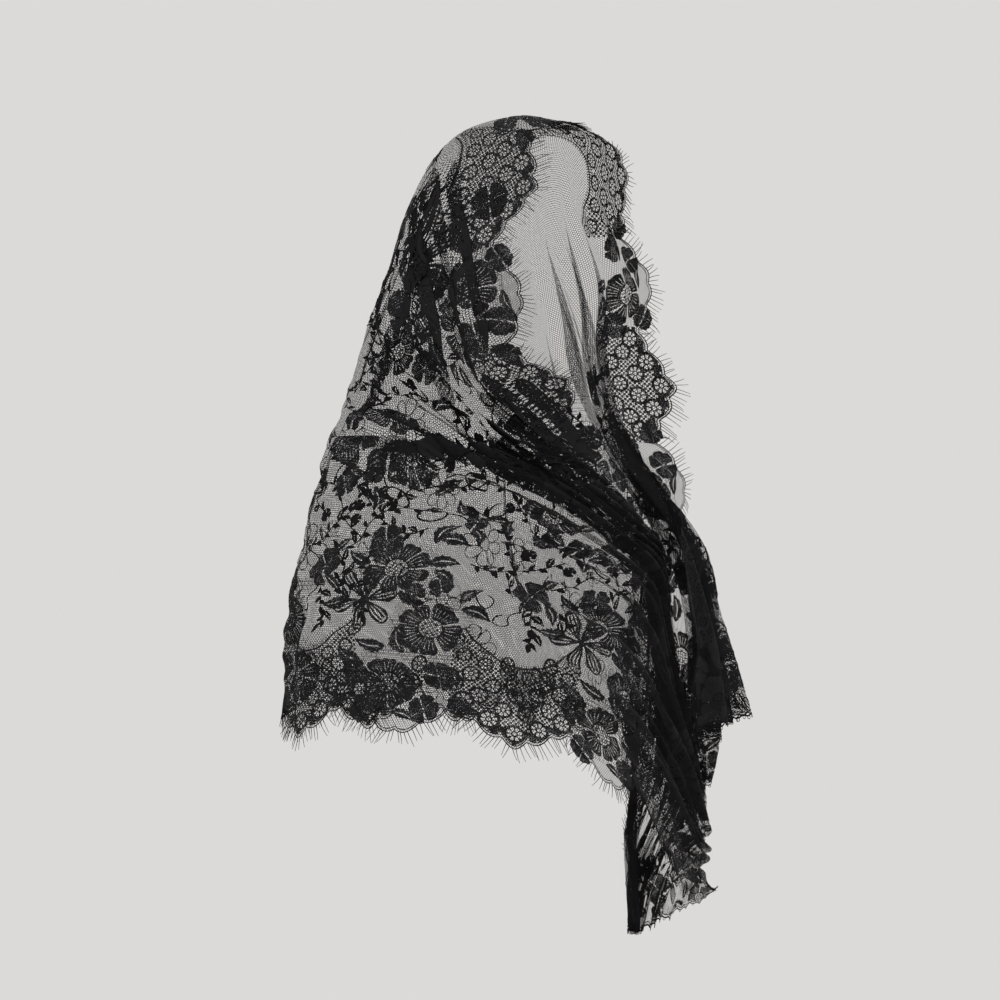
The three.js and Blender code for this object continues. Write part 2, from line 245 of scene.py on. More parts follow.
def look_up(table, row, column):
    """Values between the entries of a table."""
    row = np.clip(row, 0, table.shape[0] - 1.001)
    column = np.clip(column, 0, table.shape[1] - 1.001)
    i, j = row.astype(int), column.astype(int)
    u, v = row - i, column - j
    if table.ndim == 3:
        u, v = u[..., None], v[..., None]
    return ((1 - u) * (1 - v) * table[i, j] + u * (1 - v) * table[i + 1, j]
            + (1 - u) * v * table[i, j + 1] + u * v * table[i + 1, j + 1])


# %% A fine grid over the cloth
GRID = 2.5
GRID_MARGIN = 50
SLOPE_CELLS = 5
BUNDLED_SHARE = 0.8
BUNDLE_START, BUNDLE_END = 850, 1010
grid_along = np.arange(-FALL_LENGTH - GRID_MARGIN, WRAP_LENGTH + GRID_MARGIN + GRID, GRID)
grid_across = np.arange(-GRID_MARGIN, CLOTH_WIDTH + GRID_MARGIN + GRID, GRID)
A, C = np.meshgrid(grid_along, grid_across, indexing="ij")


def on_grid(values, along, across):
    """Values on the grid, looked up at any flat place."""
    return look_up(values, (along - grid_along[0]) / GRID, (across - grid_across[0]) / GRID)


# At the end of the long half most of the width is bundled on the face edge side, and the hem side hangs open.
bundled = BUNDLED_SHARE * smoothstep(A, BUNDLE_START, BUNDLE_END)
inside = np.clip(C / CLOTH_WIDTH, 0, 1)
hung = C + bundled * CLOTH_WIDTH * (inside ** 4 - inside)
SMOOTH = on_grid(smooth_cloth(grid_along, grid_across), A, hung)


def slope(axis):
    """How the cloth runs along one of its flat directions, over a few cells of the grid."""
    ahead = np.roll(SMOOTH, -SLOPE_CELLS, axis)
    behind = np.roll(SMOOTH, SLOPE_CELLS, axis)
    return (ahead - behind) / (2 * SLOPE_CELLS * GRID)


step_along = slope(0)
step_across = slope(1)
fold_side = unit(np.cross(step_along, step_across))
print("grid", SMOOTH.shape, "mean width left across", round(float(length_of(step_across).mean()), 2))

# %% [markdown]
# ### Wide folds
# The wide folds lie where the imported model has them: 18 passes between two broader ones at the edges. They
# are as deep as the spare width allows, up to a limit that the chart gives for each line across the cloth.

# %% Wide folds
EDGE_PASS = 40
PASS_COUNT = 18
PASS_WIDTH = (CLOTH_WIDTH - 2 * EDGE_PASS) / PASS_COUNT
EDGE_DEPTH = 4


def fold_wave(passes):
    """Rounded folded line: -1 and 1 in turn at each whole number of passes."""
    return -np.cos(np.pi * passes)


def rounded_passes(across):
    """How many passes of the wide folds lie between the face edge and a place."""
    inner = 1 + (across - EDGE_PASS) / PASS_WIDTH
    face = (across + EDGE_PASS) / (2 * EDGE_PASS)
    hem = 2 + PASS_COUNT - (CLOTH_WIDTH - across + EDGE_PASS) / (2 * EDGE_PASS)
    return np.where(across < EDGE_PASS, face, np.where(across > CLOTH_WIDTH - EDGE_PASS, hem, inner))


def fold_limit():
    """Deepest fold at each place, from the last column of the chart."""
    cheek, middle, hem = curve_through(ALONG, DEPTHS, np.clip(grid_along, ALONG[0], ALONG[-1])).T[..., None]
    to_middle = smoothstep(C, DEPTH_ACROSS[0], DEPTH_ACROSS[1])
    to_hem = smoothstep(C, DEPTH_ACROSS[1], DEPTH_ACROSS[2])
    return cheek * (1 - to_middle) + middle * (to_middle - to_hem) + hem * to_hem


def near_edge(limit, from_edge):
    """The fold limit, lowered in the first stretch from an edge."""
    open_part = 1 - smoothstep(from_edge, EDGE_PASS / 2, 2 * EDGE_PASS)
    return np.minimum(limit, EDGE_DEPTH) * open_part + limit * (1 - open_part)


def wide_folds(quarter, drawn, limit):
    """Depth of the wide folds, and how much the cloth is still drawn together beyond them."""
    depth = np.minimum(quarter * np.sqrt(np.clip(1 - drawn ** 2, 0, None)), limit)
    taken = (np.pi * depth / (2 * quarter)) ** 2 / 2
    return depth, np.sqrt(np.clip(drawn ** 2 + taken, 0, 1))


limit = near_edge(fold_limit(), C)
print("a pass in mm", round(PASS_WIDTH, 1), "deepest limit in mm", round(float(limit.max()), 1))

# %% [markdown]
# ### Fine gathers
# Slow waves bend the fine gathers, so that they run together and part as cloth does. Under the chin the
# folds are pressed over each other. Beside the cheek the fine gathers are left out, because the cloth is
# folded over there in a few broad pleats, which follow below. Where it is stretched behind the right
# shoulder it is nearly smooth, and the short half is shaken out, so its gathers are shallow, as they are at
# both edges and at the end of the long half.

# %% Fine gathers
GATHER_PASS = 15.0
GATHER_FAN = math.radians(4)
CHIN_SWING = 2.2
EDGE_CALM = (4, 60)
# How much of their depth the folds lose: the gathers at the end of the long half, where the cloth is flatter
# and where it is shaken out, and the wide folds where it is flatter.
END_LOSS = 0.65
FLAT_LOSS = 0.85
SHAKEN_LOSS = 0.6
WIDE_LOSS = 0.6


def fade(values, rise, fall):
    """1 between two stretches: it rises from 0 in the first and falls back to 0 in the second."""
    return smoothstep(values, *rise) * (1 - smoothstep(values, *fall))


beside_cheek = fade(A, (70, 120), (290, 340)) * fade(C, (10, 35), (180, 230))
behind_shoulder = fade(A, (100, 150), (230, 280)) * fade(C, (230, 290), (410, 460))
shaken_out = (1 - smoothstep(A, -300, -220)) * fade(C, (20, 60), (300, 380))
flatter = np.maximum(beside_cheek, behind_shoulder)
calm = smoothstep(C, *EDGE_CALM) * smoothstep(CLOTH_WIDTH - C, *EDGE_CALM)
calm *= 1 - END_LOSS * smoothstep(A, 900, 1000)
calm *= (1 - FLAT_LOSS * flatter) * (1 - SHAKEN_LOSS * shaken_out)
pressed = CHIN_SWING * fade(A, (300, 350), (600, 680)) * fade(C, (30, 60), (290, 400))
wander = (0.45 * np.sin(A / 83 + 1.1 * np.sin(C / 61)) + 0.25 * np.sin(A / 37 + C / 53)
          + 0.4 * np.sin(C / 29 + A / 190))
swell = 0.88 + 0.12 * np.sin(A / 47 + C / 19 + 1.7 * np.sin(A / 131))


def gather(drawn, passes, pass_width, sideways):
    """Sideways and upright parts of the fine gathers, from how much the cloth is drawn together."""
    swing = np.maximum(np.interp(-drawn, -DRAWN_BY_SWING, swings), pressed) * swell * calm
    row = swing / MOST_SWING * SWING_STEPS
    column = passes / 2 % 1 * PHASE_STEPS
    side = look_up(SIDE_SHAPE, row, column) * pass_width
    up = look_up(HEIGHT_SHAPE, row, column) * pass_width
    return sideways * side[..., None] + fold_side * up[..., None]


print("share of the cloth with folds pressed over", round(float((pressed > 1).mean()), 3))

# %% [markdown]
# ### Two directions of folds
# The long half hangs in folds that run lengthwise. The back and the short half hang from the crown, so their
# folds fan out from there. Both are worked out everywhere, and one fades into the other beside the crown.

# %% Folds that run lengthwise
drawn = np.minimum(length_of(step_across), 1)
wide, left = wide_folds(PASS_WIDTH / 2, drawn, near_edge(limit, CLOTH_WIDTH - C))
wide *= 1 - WIDE_LOSS * flatter
lengthwise_folds = (fold_side * (wide * fold_wave(rounded_passes(C)))[..., None]
                    + gather(left, C / GATHER_PASS + wander, GATHER_PASS, unit(step_across)))
print("deepest wide fold lengthwise in mm", round(float(wide.max()), 1))

# %% Folds that fan out from the crown
FAN_ALONG, FAN_ACROSS = 20, 110
FAN_PASS = math.radians(9)
FAN_START = (60, 220)
to_fall = FAN_ALONG - A
to_hem = C - FAN_ACROSS
radius = np.maximum(np.hypot(to_fall, to_hem), 1)
angle = np.arctan2(to_hem, to_fall)
round_step = step_along * (to_hem / radius)[..., None] + step_across * (to_fall / radius)[..., None]
drawn = np.minimum(length_of(round_step), 1)
wide, left = wide_folds(radius * FAN_PASS / 2, drawn, limit)
wide *= 1 - WIDE_LOSS * behind_shoulder
fan_folds = (fold_side * (wide * fold_wave(angle / FAN_PASS))[..., None]
             + gather(left, angle / GATHER_FAN + wander, radius * GATHER_FAN, unit(round_step)))
fan_folds *= smoothstep(radius, *FAN_START)[..., None]
print("deepest wide fold in the fan in mm", round(float(wide.max()), 1))

# %% Both together
lengthwise = smoothstep(A, 40 + C / 6, 160 + C * 2 / 9)[..., None]
moved = lengthwise_folds * lengthwise + fan_folds * (1 - lengthwise)
CLOTH = SMOOTH + moved
print("cloth grid", CLOTH.shape, "deepest fold in mm", round(float(length_of(moved).max()), 1))

# %% [markdown]
# In a few places the cloth is folded over itself: in broad pleats that run down beside the cheek, in the
# bunch under the chin, along the outer line behind the right shoulder, and where the long half turns from
# the hood to the chest, which shows as a dark band. In such a fold the cloth runs back for a short way and
# then on again, so that it lies in three layers. It is made by looking up the cloth at places that are
# moved across the line of the fold, more than the cloth is long there.

# %% Folds pressed over
# Each fold: a line of places as along and across, how far it reaches to each side, how strongly the cloth is
# pulled back over itself, and how far apart its layers lie.
PRESSED_FOLDS = {
    "shoulder": ([(215, 418), (255, 411), (295, 405), (328, 386), (346, 357), (356, 325), (366, 287),
                  (380, 252), (395, 215), (412, 180), (437, 142)], 17, 2.6, 4.5),
    "shoulder under": ([(290, 440), (318, 430), (346, 408), (366, 376), (379, 340), (390, 302),
                        (404, 264), (420, 226)], 14, 2.8, -3.0),
    "cheek back": ([(108, 160), (140, 145), (170, 136), (200, 138), (230, 147), (252, 166),
                    (268, 190), (292, 222), (318, 262)], 10, 4.0, 4.0),
    "cheek middle": ([(88, 120), (115, 115), (145, 103), (170, 92), (195, 86), (225, 81), (255, 80),
                      (285, 86), (315, 104)], 10, 4.0, 4.0),
    "cheek front": ([(85, 92), (115, 82), (145, 66), (170, 52), (200, 43), (225, 38), (255, 36),
                     (290, 38)], 7, 3.4, 3.0),
    "chin edge": ([(302, 24), (330, 26), (360, 26), (395, 30), (440, 38)], 9, 3.4, 3.0),
    "chin front": ([(285, 58), (320, 60), (355, 62), (400, 68), (440, 80)], 12, 3.4, 4.0),
    "chin middle": ([(300, 90), (330, 90), (360, 93), (400, 100), (440, 112)], 10, 3.4, 4.0),
    "chin back": ([(290, 118), (325, 116), (360, 120), (400, 130), (440, 142)], 12, 3.2, 4.0),
    "chin inner": ([(312, 162), (345, 164), (375, 172), (405, 182), (445, 196)], 14, 3.2, 4.0),
    "chin inmost": ([(328, 218), (358, 226), (392, 236), (430, 250)], 15, 3.0, 4.0),
    "back outer": ([(160, 120), (178, 145), (190, 175), (200, 212), (208, 253), (224, 299),
                    (243, 344), (256, 380)], 11, 2.8, 3.5),
}
FOLD_SAMPLES = 140
FOLD_FIELD = 4
FOLD_FADE = 0.16


def fold_over(cloth, points, reach, strength, lift):
    """The cloth pressed over along a flat line, with its layers a few millimetres apart."""
    knots = np.arange(len(points), dtype=float)
    line = curve_through(knots, np.array(points, float), np.linspace(0, knots[-1], FOLD_SAMPLES))
    heading = unit(np.gradient(line, axis=0))
    places = np.stack([A, C], -1).reshape(-1, 2)
    field = FOLD_FIELD * reach
    near = (places > line.min(0) - field).all(1) & (places < line.max(0) + field).all(1)
    rows = np.flatnonzero(near)
    closest = np.array([length_of(places[rows] - point) for point in line]).argmin(0)
    out_of_line = heading[closest][:, ::-1] * (-1, 1)
    away = ((places[rows] - line[closest]) * out_of_line).sum(1)
    part = closest / (FOLD_SAMPLES - 1)
    pull = away * np.exp(-(away / reach) ** 2 / 2) * fade(part, (0, FOLD_FADE), (1 - FOLD_FADE, 1))
    looked = places[rows] - strength * pull[:, None] * out_of_line
    folded = on_grid(cloth, *looked.T)
    lifted = fold_side.reshape(-1, 3)[rows] * (-lift * pull / reach)[:, None]
    result = cloth.copy()
    result.reshape(-1, 3)[rows] = folded + lifted
    return result


for fold in PRESSED_FOLDS.values():
    CLOTH = fold_over(CLOTH, *fold)
OUTER = unit(np.cross(np.gradient(CLOTH, axis=1), np.gradient(CLOTH, axis=0)))
print("folds pressed over", len(PRESSED_FOLDS))


# %% Lay a flat place on the cloth
def on_cloth(places):
    """Places as along, across and lift above the outer side, in mm, to points in metres."""
    along, across, lift = places.T
    return (on_grid(CLOTH, along, across) + on_grid(OUTER, along, across) * lift[:, None]) * MM


print("face edge at the crown in metres", on_cloth(np.zeros((1, 3)))[0].round(3))

# %% [markdown]
# ## Materials
# The lace is black polyester yarn. Polyester has an IOR of about 1.6, near the shader's own 1.5, but yarn
# is many fine fibres that scatter the light between them, so its specular level is low and its roughness
# high, which gives the eye a soft, dull black. The net is bobbinet: a honeycomb of thin threads, mostly
# holes. The holes are far too many to model, so they are cut by the material, from the flat place of each
# point in millimetres. The flowers are clothwork, where the same yarn is packed nearly solid, and the
# cordonnet is a thicker soft cord that outlines them.

# %% Colour and node helpers
SPECULAR_LEVEL = 0.1


def linear(hex_colour):
    """sRGB hex to the linear colour that a shader takes."""
    channels = [int(hex_colour[i:i + 2], 16) / 255 for i in (1, 3, 5)]
    return (*[c / 12.92 if c <= 0.04045 else ((c + 0.055) / 1.055) ** 2.4 for c in channels], 1)


def add_node(tree, kind, inputs, **settings):
    """A node with its settings. Each input takes a value, the first output of a node, or any other output."""
    node = tree.nodes.new(kind)
    for name, value in settings.items():
        setattr(node, name, value)
    for name, value in inputs.items():
        if isinstance(value, bpy.types.Node):
            value = value.outputs[0]
        if isinstance(value, bpy.types.NodeSocket):
            tree.links.new(value, node.inputs[name])
        else:
            node.inputs[name].default_value = value
    return node


def new_finish(name, colour, roughness):
    material = bpy.data.materials.new(name)
    material.use_nodes = True
    shader = material.node_tree.nodes["Principled BSDF"]
    shader.inputs["Base Color"].default_value = linear(colour)
    shader.inputs["Roughness"].default_value = roughness
    shader.inputs["Specular IOR Level"].default_value = SPECULAR_LEVEL
    return material, material.node_tree, shader


print("black yarn as a linear colour", [round(channel, 4) for channel in linear("#161618")])

# %% [markdown]
# ### Bobbinet
# Net has about eleven holes to the inch, so a hole is 2.3 mm from side to side. A honeycomb is drawn from
# two rectangular grids, one shifted by half a cell: the nearer of the two middles is the middle of the
# hexagon, and the distance from that middle to the cell's side says whether a point is on a thread. The
# threads are about 0.5 mm, which leaves about six tenths of the net open. To the eye it is a grey veil that
# darkens where the cloth is drawn together or lies double.

# %% Bobbinet material
NET_PITCH = 2.3
NET_THREAD = 0.5
CELL = (1, math.sqrt(3), 1)
HALF_CELL = (0.5, math.sqrt(3) / 2, 0)
TO_SLANTED_SIDE = (0.5, math.sqrt(3) / 2, 0)
bobbinet, tree, shader = new_finish("black_polyester_bobbinet", "#161618", 0.85)
flat_place = add_node(tree, "ShaderNodeUVMap", {}, uv_map="flat_cloth")
holes = add_node(tree, "ShaderNodeVectorMath", {0: flat_place, "Scale": 1 / (NET_PITCH * MM)},
                 operation="SCALE")


def to_cell_middle(shift):
    """How far a point is from the middle of its cell, in one of the two grids."""
    shifted = add_node(tree, "ShaderNodeVectorMath", {0: holes, 1: shift}, operation="ADD")
    wrapped = add_node(tree, "ShaderNodeVectorMath", {0: shifted, 1: CELL}, operation="MODULO")
    return add_node(tree, "ShaderNodeVectorMath", {0: wrapped, 1: HALF_CELL}, operation="SUBTRACT")


def side_distance(middle):
    """Distance from the middle toward the nearest side of the hexagon, 0.5 on the side itself."""
    size = add_node(tree, "ShaderNodeVectorMath", {0: middle}, operation="ABSOLUTE")
    slanted = add_node(tree, "ShaderNodeVectorMath", {0: size, 1: TO_SLANTED_SIDE}, operation="DOT_PRODUCT")
    parts = add_node(tree, "ShaderNodeSeparateXYZ", {0: size})
    return add_node(tree, "ShaderNodeMath", {0: slanted.outputs["Value"], 1: parts.outputs["X"]},
                    operation="MAXIMUM")


near_side = side_distance(to_cell_middle((0, 0, 0)))
far_side = side_distance(to_cell_middle(HALF_CELL))
side = add_node(tree, "ShaderNodeMath", {0: near_side, 1: far_side}, operation="MINIMUM")
thread = add_node(tree, "ShaderNodeMath", {0: side, 1: 0.5 - NET_THREAD / NET_PITCH / 2},
                  operation="GREATER_THAN")
tree.links.new(thread.outputs[0], shader.inputs["Alpha"])
print("open part of the net", round((1 - NET_THREAD / NET_PITCH) ** 2, 2))

# %% [markdown]
# ### Clothwork and cordonnet
# Clothwork is a plain weave with about 12 threads to the centimetre. That is finer than one pixel, so its
# pinholes are drawn at 1.6 mm, and a slow noise makes some places denser than others, as the yarn tension
# does. The cordonnet is the same yarn in a thicker bundle: a little darker and twisted. The twist is drawn
# as bump, 3 mm long, which is coarser than the real one, so that it shows. To the eye clothwork is a matt,
# slightly uneven black on the net, and cordonnet a crisp darker line.

# %% Clothwork material
WEAVE = 1.6
TENSION_SCALE = 90
PINHOLE_SIDES = (0.08, 0.3)
clothwork, tree, shader = new_finish("black_polyester_clothwork", "#1b1b1d", 0.8)
flat_place = add_node(tree, "ShaderNodeUVMap", {}, uv_map="flat_cloth")
tension = add_node(tree, "ShaderNodeTexNoise", {"Vector": flat_place, "Scale": TENSION_SCALE, "Detail": 2})
density = tension.outputs["Fac"]
yarn = add_node(tree, "ShaderNodeMix", {"Factor": density, "A": linear("#0d0d0f"), "B": linear("#202022")},
                data_type="RGBA")
tree.links.new(yarn.outputs["Result"], shader.inputs["Base Color"])
weave = add_node(tree, "ShaderNodeVectorMath", {0: flat_place, "Scale": 1 / (WEAVE * MM)},
                 operation="SCALE")
threads = add_node(tree, "ShaderNodeVectorMath", {0: weave}, operation="FRACTION")
parts = add_node(tree, "ShaderNodeSeparateXYZ", {0: threads})
pinhole_size = add_node(tree, "ShaderNodeMapRange",
                        {"Value": density, "From Min": 0.35, "From Max": 0.65,
                         "To Min": PINHOLE_SIDES[0], "To Max": PINHOLE_SIDES[1]})
warp = add_node(tree, "ShaderNodeMath", {0: parts.outputs["X"], 1: pinhole_size}, operation="LESS_THAN")
weft = add_node(tree, "ShaderNodeMath", {0: parts.outputs["Y"], 1: pinhole_size}, operation="LESS_THAN")
pinhole = add_node(tree, "ShaderNodeMath", {0: warp, 1: weft}, operation="MULTIPLY")
solid = add_node(tree, "ShaderNodeMath", {0: 1.0, 1: pinhole}, operation="SUBTRACT")
tree.links.new(solid.outputs[0], shader.inputs["Alpha"])
print("pinholes in mm from", round(WEAVE * PINHOLE_SIDES[0], 2), "to", round(WEAVE * PINHOLE_SIDES[1], 2))

# %% Cordonnet material
TWIST_LENGTH = 3.0
TWIST_HEIGHT = 0.0003
# The wave texture draws one band for every 2 pi / 10 of its scaled place.
WAVE_BAND = 2 * math.pi / 10
cordonnet, tree, shader = new_finish("black_twisted_cordonnet", "#0d0d0f", 0.75)
flat_place = add_node(tree, "ShaderNodeUVMap", {}, uv_map="flat_cloth")
twist = add_node(tree, "ShaderNodeTexWave",
                 {"Vector": flat_place, "Scale": WAVE_BAND / (TWIST_LENGTH * MM), "Distortion": 0.6},
                 bands_direction="DIAGONAL")
bump = add_node(tree, "ShaderNodeBump",
                {"Height": twist.outputs["Fac"], "Strength": 0.5, "Distance": TWIST_HEIGHT})
tree.links.new(bump.outputs["Normal"], shader.inputs["Normal"])
print("materials", [material.name for material in (bobbinet, clothwork, cordonnet)])

# %% [markdown]
# ## Lace drawn flat
# Every part of the lace is a strip: a line with a width. A petal, a leaf and a cord are all strips, with
# slits where faces are left out. Motifs are drawn once around their own middle and copied by arrays, which
# is far lighter than one object each.

# %% Lace drawn flat
FLAT_LIFT = 0.35
CORD_LIFT = 0.8


class Lace:
    """Faces drawn flat: each place is x, y and lift in mm."""

    def __init__(self):
        self.places = []
        self.faces = []
        self.count = 0

    def add(self, places, faces):
        self.places.append(np.asarray(places, float))
        self.faces.append(np.asarray(faces, int) + self.count)
        self.count += len(places)
        return self

    def all(self):
        return np.concatenate(self.places), np.concatenate(self.faces)

    def stamp(self, motif, x=0.0, y=0.0, turn=0.0, size=1.0):
        """A copy of a motif, turned by degrees and moved."""
        places, faces = motif.all()
        c, s = math.cos(math.radians(turn)) * size, math.sin(math.radians(turn)) * size
        px, py, lift = places.T
        return self.add(np.stack([x + c * px - s * py, y + s * px + c * py, lift], 1), faces)


print("the flat lace lies", FLAT_LIFT, "mm and the cords", CORD_LIFT, "mm above the net")


# %% Strips and cords
def grid_faces(rows, columns, ring=False, slit=None):
    """Faces between the rows and columns of a grid of places, without those in a slit."""
    last = rows if ring else rows - 1
    i, j = [index.ravel() for index in np.meshgrid(np.arange(last), np.arange(columns - 1), indexing="ij")]
    if slit:
        keep = ~slit(i / last, j)
        i, j = i[keep], j[keep]
    after = (i + 1) % rows
    return np.stack([i * columns + j, after * columns + j, after * columns + j + 1, i * columns + j + 1], 1)


def strip(lace, line, offsets, lifts=FLAT_LIFT, closed=False, slit=None):
    """A strip along a line, with its columns at the given distances to the left of it."""
    line = np.asarray(line, float)
    direction = np.roll(line, -1, 0) - np.roll(line, 1, 0) if closed else np.gradient(line, axis=0)
    sideways = unit(direction)[:, ::-1] * (-1, 1)
    offsets = np.broadcast_to(offsets, (len(line), np.shape(offsets)[-1]))
    flat = line[:, None] + sideways[:, None] * offsets[..., None]
    lifts = np.broadcast_to(lifts, offsets.shape)
    places = np.concatenate([flat, lifts[..., None]], -1).reshape(-1, 3)
    return lace.add(places, grid_faces(*offsets.shape, closed, slit))


def cord(lace, line, width, closed=False):
    """A raised cord: its middle stands higher than its sides."""
    return strip(lace, line, [-width / 2, 0, width / 2], [FLAT_LIFT, CORD_LIFT, FLAT_LIFT], closed)


def thread_line(lace, line, width):
    return strip(lace, line, [-width / 2, width / 2])


print("faces of a cord with four places", len(cord(Lace(), [(0, 0), (5, 0), (10, 2), (15, 5)], 2.0).all()[1]))


# %% Smooth lines and circles
def through(points, spacing=3.0):
    """A smooth line through a few points, with places about one spacing apart."""
    points = np.asarray(points, float)
    knots = np.concatenate([[0], np.cumsum(length_of(np.diff(points, axis=0)))])
    count = max(int(knots[-1] / spacing), 2)
    return curve_through(knots, points, np.linspace(0, knots[-1], count + 1))


def circle(radius, count, x=0.0, y=0.0, stretch=1.0):
    turn = np.arange(count) / count * 2 * np.pi
    return np.stack([x + radius * np.cos(turn), y + radius * stretch * np.sin(turn)], 1)


print("places on a line of 30 mm", len(through([(0, 0), (15, 3), (30, 0)])))

# %% [markdown]
# ### Flowers
# The flowers have nine broad petals with rounded ends and paler ribs, and an openwork middle. A petal is a
# strip along its own middle line, which widens with the distance from the centre.

# %% Petal
def petal(lace, start, end, half_angle, turn, notch, ribs):
    """One petal between two radii, with slits for its ribs."""
    columns = np.array([-1, -0.58, -0.5, -0.04, 0.04, 0.5, 0.58, 1] if ribs else [-1, -0.5, 0, 0.5, 1])
    u, f = np.meshgrid([0, 0.14, 0.3, 0.48, 0.66, 0.84, 1], columns, indexing="ij")
    rounding = 1 - 0.13 * np.abs(f) ** 3 * u - notch * np.clip(1 - np.abs(f) * 4, 0, 1) * u ** 4
    radius = start + (end - start) * u * rounding
    theta = turn + half_angle * f * (0.93 + 0.07 * u) * (1 - 0.1 * u ** 8)
    places = np.stack([radius * np.cos(theta), radius * np.sin(theta), np.full(u.shape, FLAT_LIFT)], -1)
    lace.add(places.reshape(-1, 3), grid_faces(*u.shape, slit=rib_slits if ribs else None))


def rib_slits(part, column):
    return np.isin(column, (1, 3, 5)) & (part > 0.1) & (part < 0.6)


one_petal = Lace()
petal(one_petal, 11.5, 32, np.pi / 9, 0, 0.1, ribs=True)
print("faces of a petal", len(one_petal.all()[1]))


# %% Flower
def flower(radius, petals, centre, seed, ribs=True):
    """A flower with petals of slightly different lengths round an openwork middle."""
    random = np.random.default_rng(seed)
    lace = Lace()
    for k in range(petals):
        turn = (k + random.uniform(-0.12, 0.12)) / petals * 2 * np.pi
        end = radius * random.uniform(0.86, 1.04)
        petal(lace, centre, end, np.pi / petals * 0.98, turn, random.uniform(0.02, 0.14), ribs)
    cord(lace, circle(centre, 24), 1.3, closed=True)
    for shift in np.arange(-centre, centre + 0.1, 3.4)[1:-1]:
        half = math.sqrt(centre ** 2 - shift ** 2)
        thread_line(lace, through([(-half, shift), (half, shift)]), 0.9)
        thread_line(lace, through([(shift, -half), (shift, half)]), 0.9)
    for x, y in circle(centre * 0.62, 7):
        strip(lace, circle(0.9, 6, x, y), [-0.6, 0.7], closed=True)
    return lace


def line_flower(radius, petals):
    """A flower in outline: only the cords, with net inside the petals."""
    lace = cord(Lace(), circle(radius * 0.3, 14), 1.1, closed=True)
    u = np.linspace(0, np.pi, 12)
    away = radius * (0.32 + 0.68 * np.sin(u) ** 0.6)
    for k in range(petals):
        turn = k / petals * 2 * np.pi + np.pi / petals * np.cos(u)
        cord(lace, np.stack([away * np.cos(turn), away * np.sin(turn)], 1), 1.1)
    return lace


BIG_FLOWERS = [flower(32, 9, 11.5, seed) for seed in (3, 4, 5)]
DARK_ROSE = flower(20, 6, 4.5, 6, ribs=False)
ROUND_FLOWER = flower(26, 11, 9, 8)
FLORET = flower(6.5, 5, 1.6, 9, ribs=False)
LINE_FLOWER = line_flower(27, 8)
print("faces of a flower", len(BIG_FLOWERS[0].all()[1]), "and of a rose", len(DARK_ROSE.all()[1]))


# %% Leaves
def leaf(length, width, teeth):
    """A leaf along +x from its stalk, with a toothed outline and a slit for its midrib."""
    rows = 2 * teeth + 3
    u = np.linspace(0, 1, rows)
    teeth_reach = np.where(np.arange(rows) % 2, 1.2, 0.86)
    half = width / 2 * np.sin(np.pi * np.clip(u, 0.02, 0.98) ** 0.8) * teeth_reach
    line = np.stack([u * length, 0.12 * length * np.sin(np.pi * u)], 1)
    return strip(Lace(), line, half[:, None] * [-1, -0.1, 0.1, 1],
                 slit=lambda part, column: (column == 1) & (part > 0.15) & (part < 0.8))


def drop(length, width):
    """A small solid leaf or berry."""
    u = np.linspace(0, 1, 6)
    half = width / 2 * np.sin(np.pi * np.clip(u, 0.03, 0.97) ** 0.75)
    line = np.stack([u * length, 0.1 * length * np.sin(np.pi * u)], 1)
    return strip(Lace(), line, half[:, None] * [-1, 0, 1])


SERRATED_LEAF = leaf(34, 15, 5)
SMALL_LEAF = leaf(17, 8, 3)
DROP = drop(11, 5.5)
print("faces of a leaf", len(SERRATED_LEAF.all()[1]), "and of a drop", len(DROP.all()[1]))


# %% Bow and eyelet
def lobe(length, width):
    """One loop of a bow: an outline with four ribs inside."""
    turn = np.linspace(0, 2 * np.pi, 30, endpoint=False)
    from_knot = 1 - np.cos(turn)
    line = np.stack([length / 2 * from_knot, width / 2 * np.sin(turn) * from_knot / 2 * 1.3], 1)
    lace = cord(Lace(), line, 2.0, closed=True)
    for part in (-0.55, -0.2, 0.2, 0.55):
        rib = [(length * 0.12, 0), (length * 0.5, width * part * 0.55), (length * 0.9, width * part * 0.6)]
        thread_line(lace, through(rib), 2.1)
    return lace


def bow(lobe_turns, size):
    lace = Lace()
    for turn in lobe_turns:
        lace.stamp(BOW_LOBE, turn=turn, size=size)
    return lace.stamp(FLORET, size=0.8)


def eyelet(length, width):
    """An oval hole with a corded rim and a stem."""
    lace = cord(Lace(), circle(length / 2, 26, stretch=width / length), 2.0, closed=True)
    return cord(lace, through([(length / 2, 0), (length * 0.9, -3), (length * 1.3, -11)]), 1.5)


BOW_LOBE = lobe(36, 17)
BOW = bow((20, 75, 130, 200, 262, 318), 0.95)
EYELET = eyelet(27, 15)
print("faces of a bow", len(BOW.all()[1]), "and of an eyelet", len(EYELET.all()[1]))


# %% [markdown]
# ### Rosettes
# The edge is filled with rosettes: round holes with a dark rim and eight spokes that widen outward, so that
# the light shows as eight small petals. The rosette is drawn with radius 1 and copied at its own size.

# %% Rosette
def rosette(spokes=8):
    lace = strip(Lace(), circle(0.93, 20), [-0.15, 0.15], closed=True)
    spoke = strip(Lace(), [(0.3, 0), (0.56, 0), (0.84, 0)], [[-0.05, 0.05], [-0.07, 0.07], [-0.15, 0.15]])
    for k in range(spokes):
        lace.stamp(spoke, turn=k / spokes * 360)
    return strip(lace, circle(0.28, 10), [-0.08, 0.08], closed=True)


ROSETTE = rosette()
print("faces of a rosette", len(ROSETTE.all()[1]))

# %% [markdown]
# ## The scalloped edge
# Two large points make one repeat of the pattern, 212.5 mm. One point carries rosettes under a swag, the
# next carries flowers. The edge also has nine small scallops to a repeat, each with one rosette. The edge
# line gives its distance in from the straight edge of the cloth.

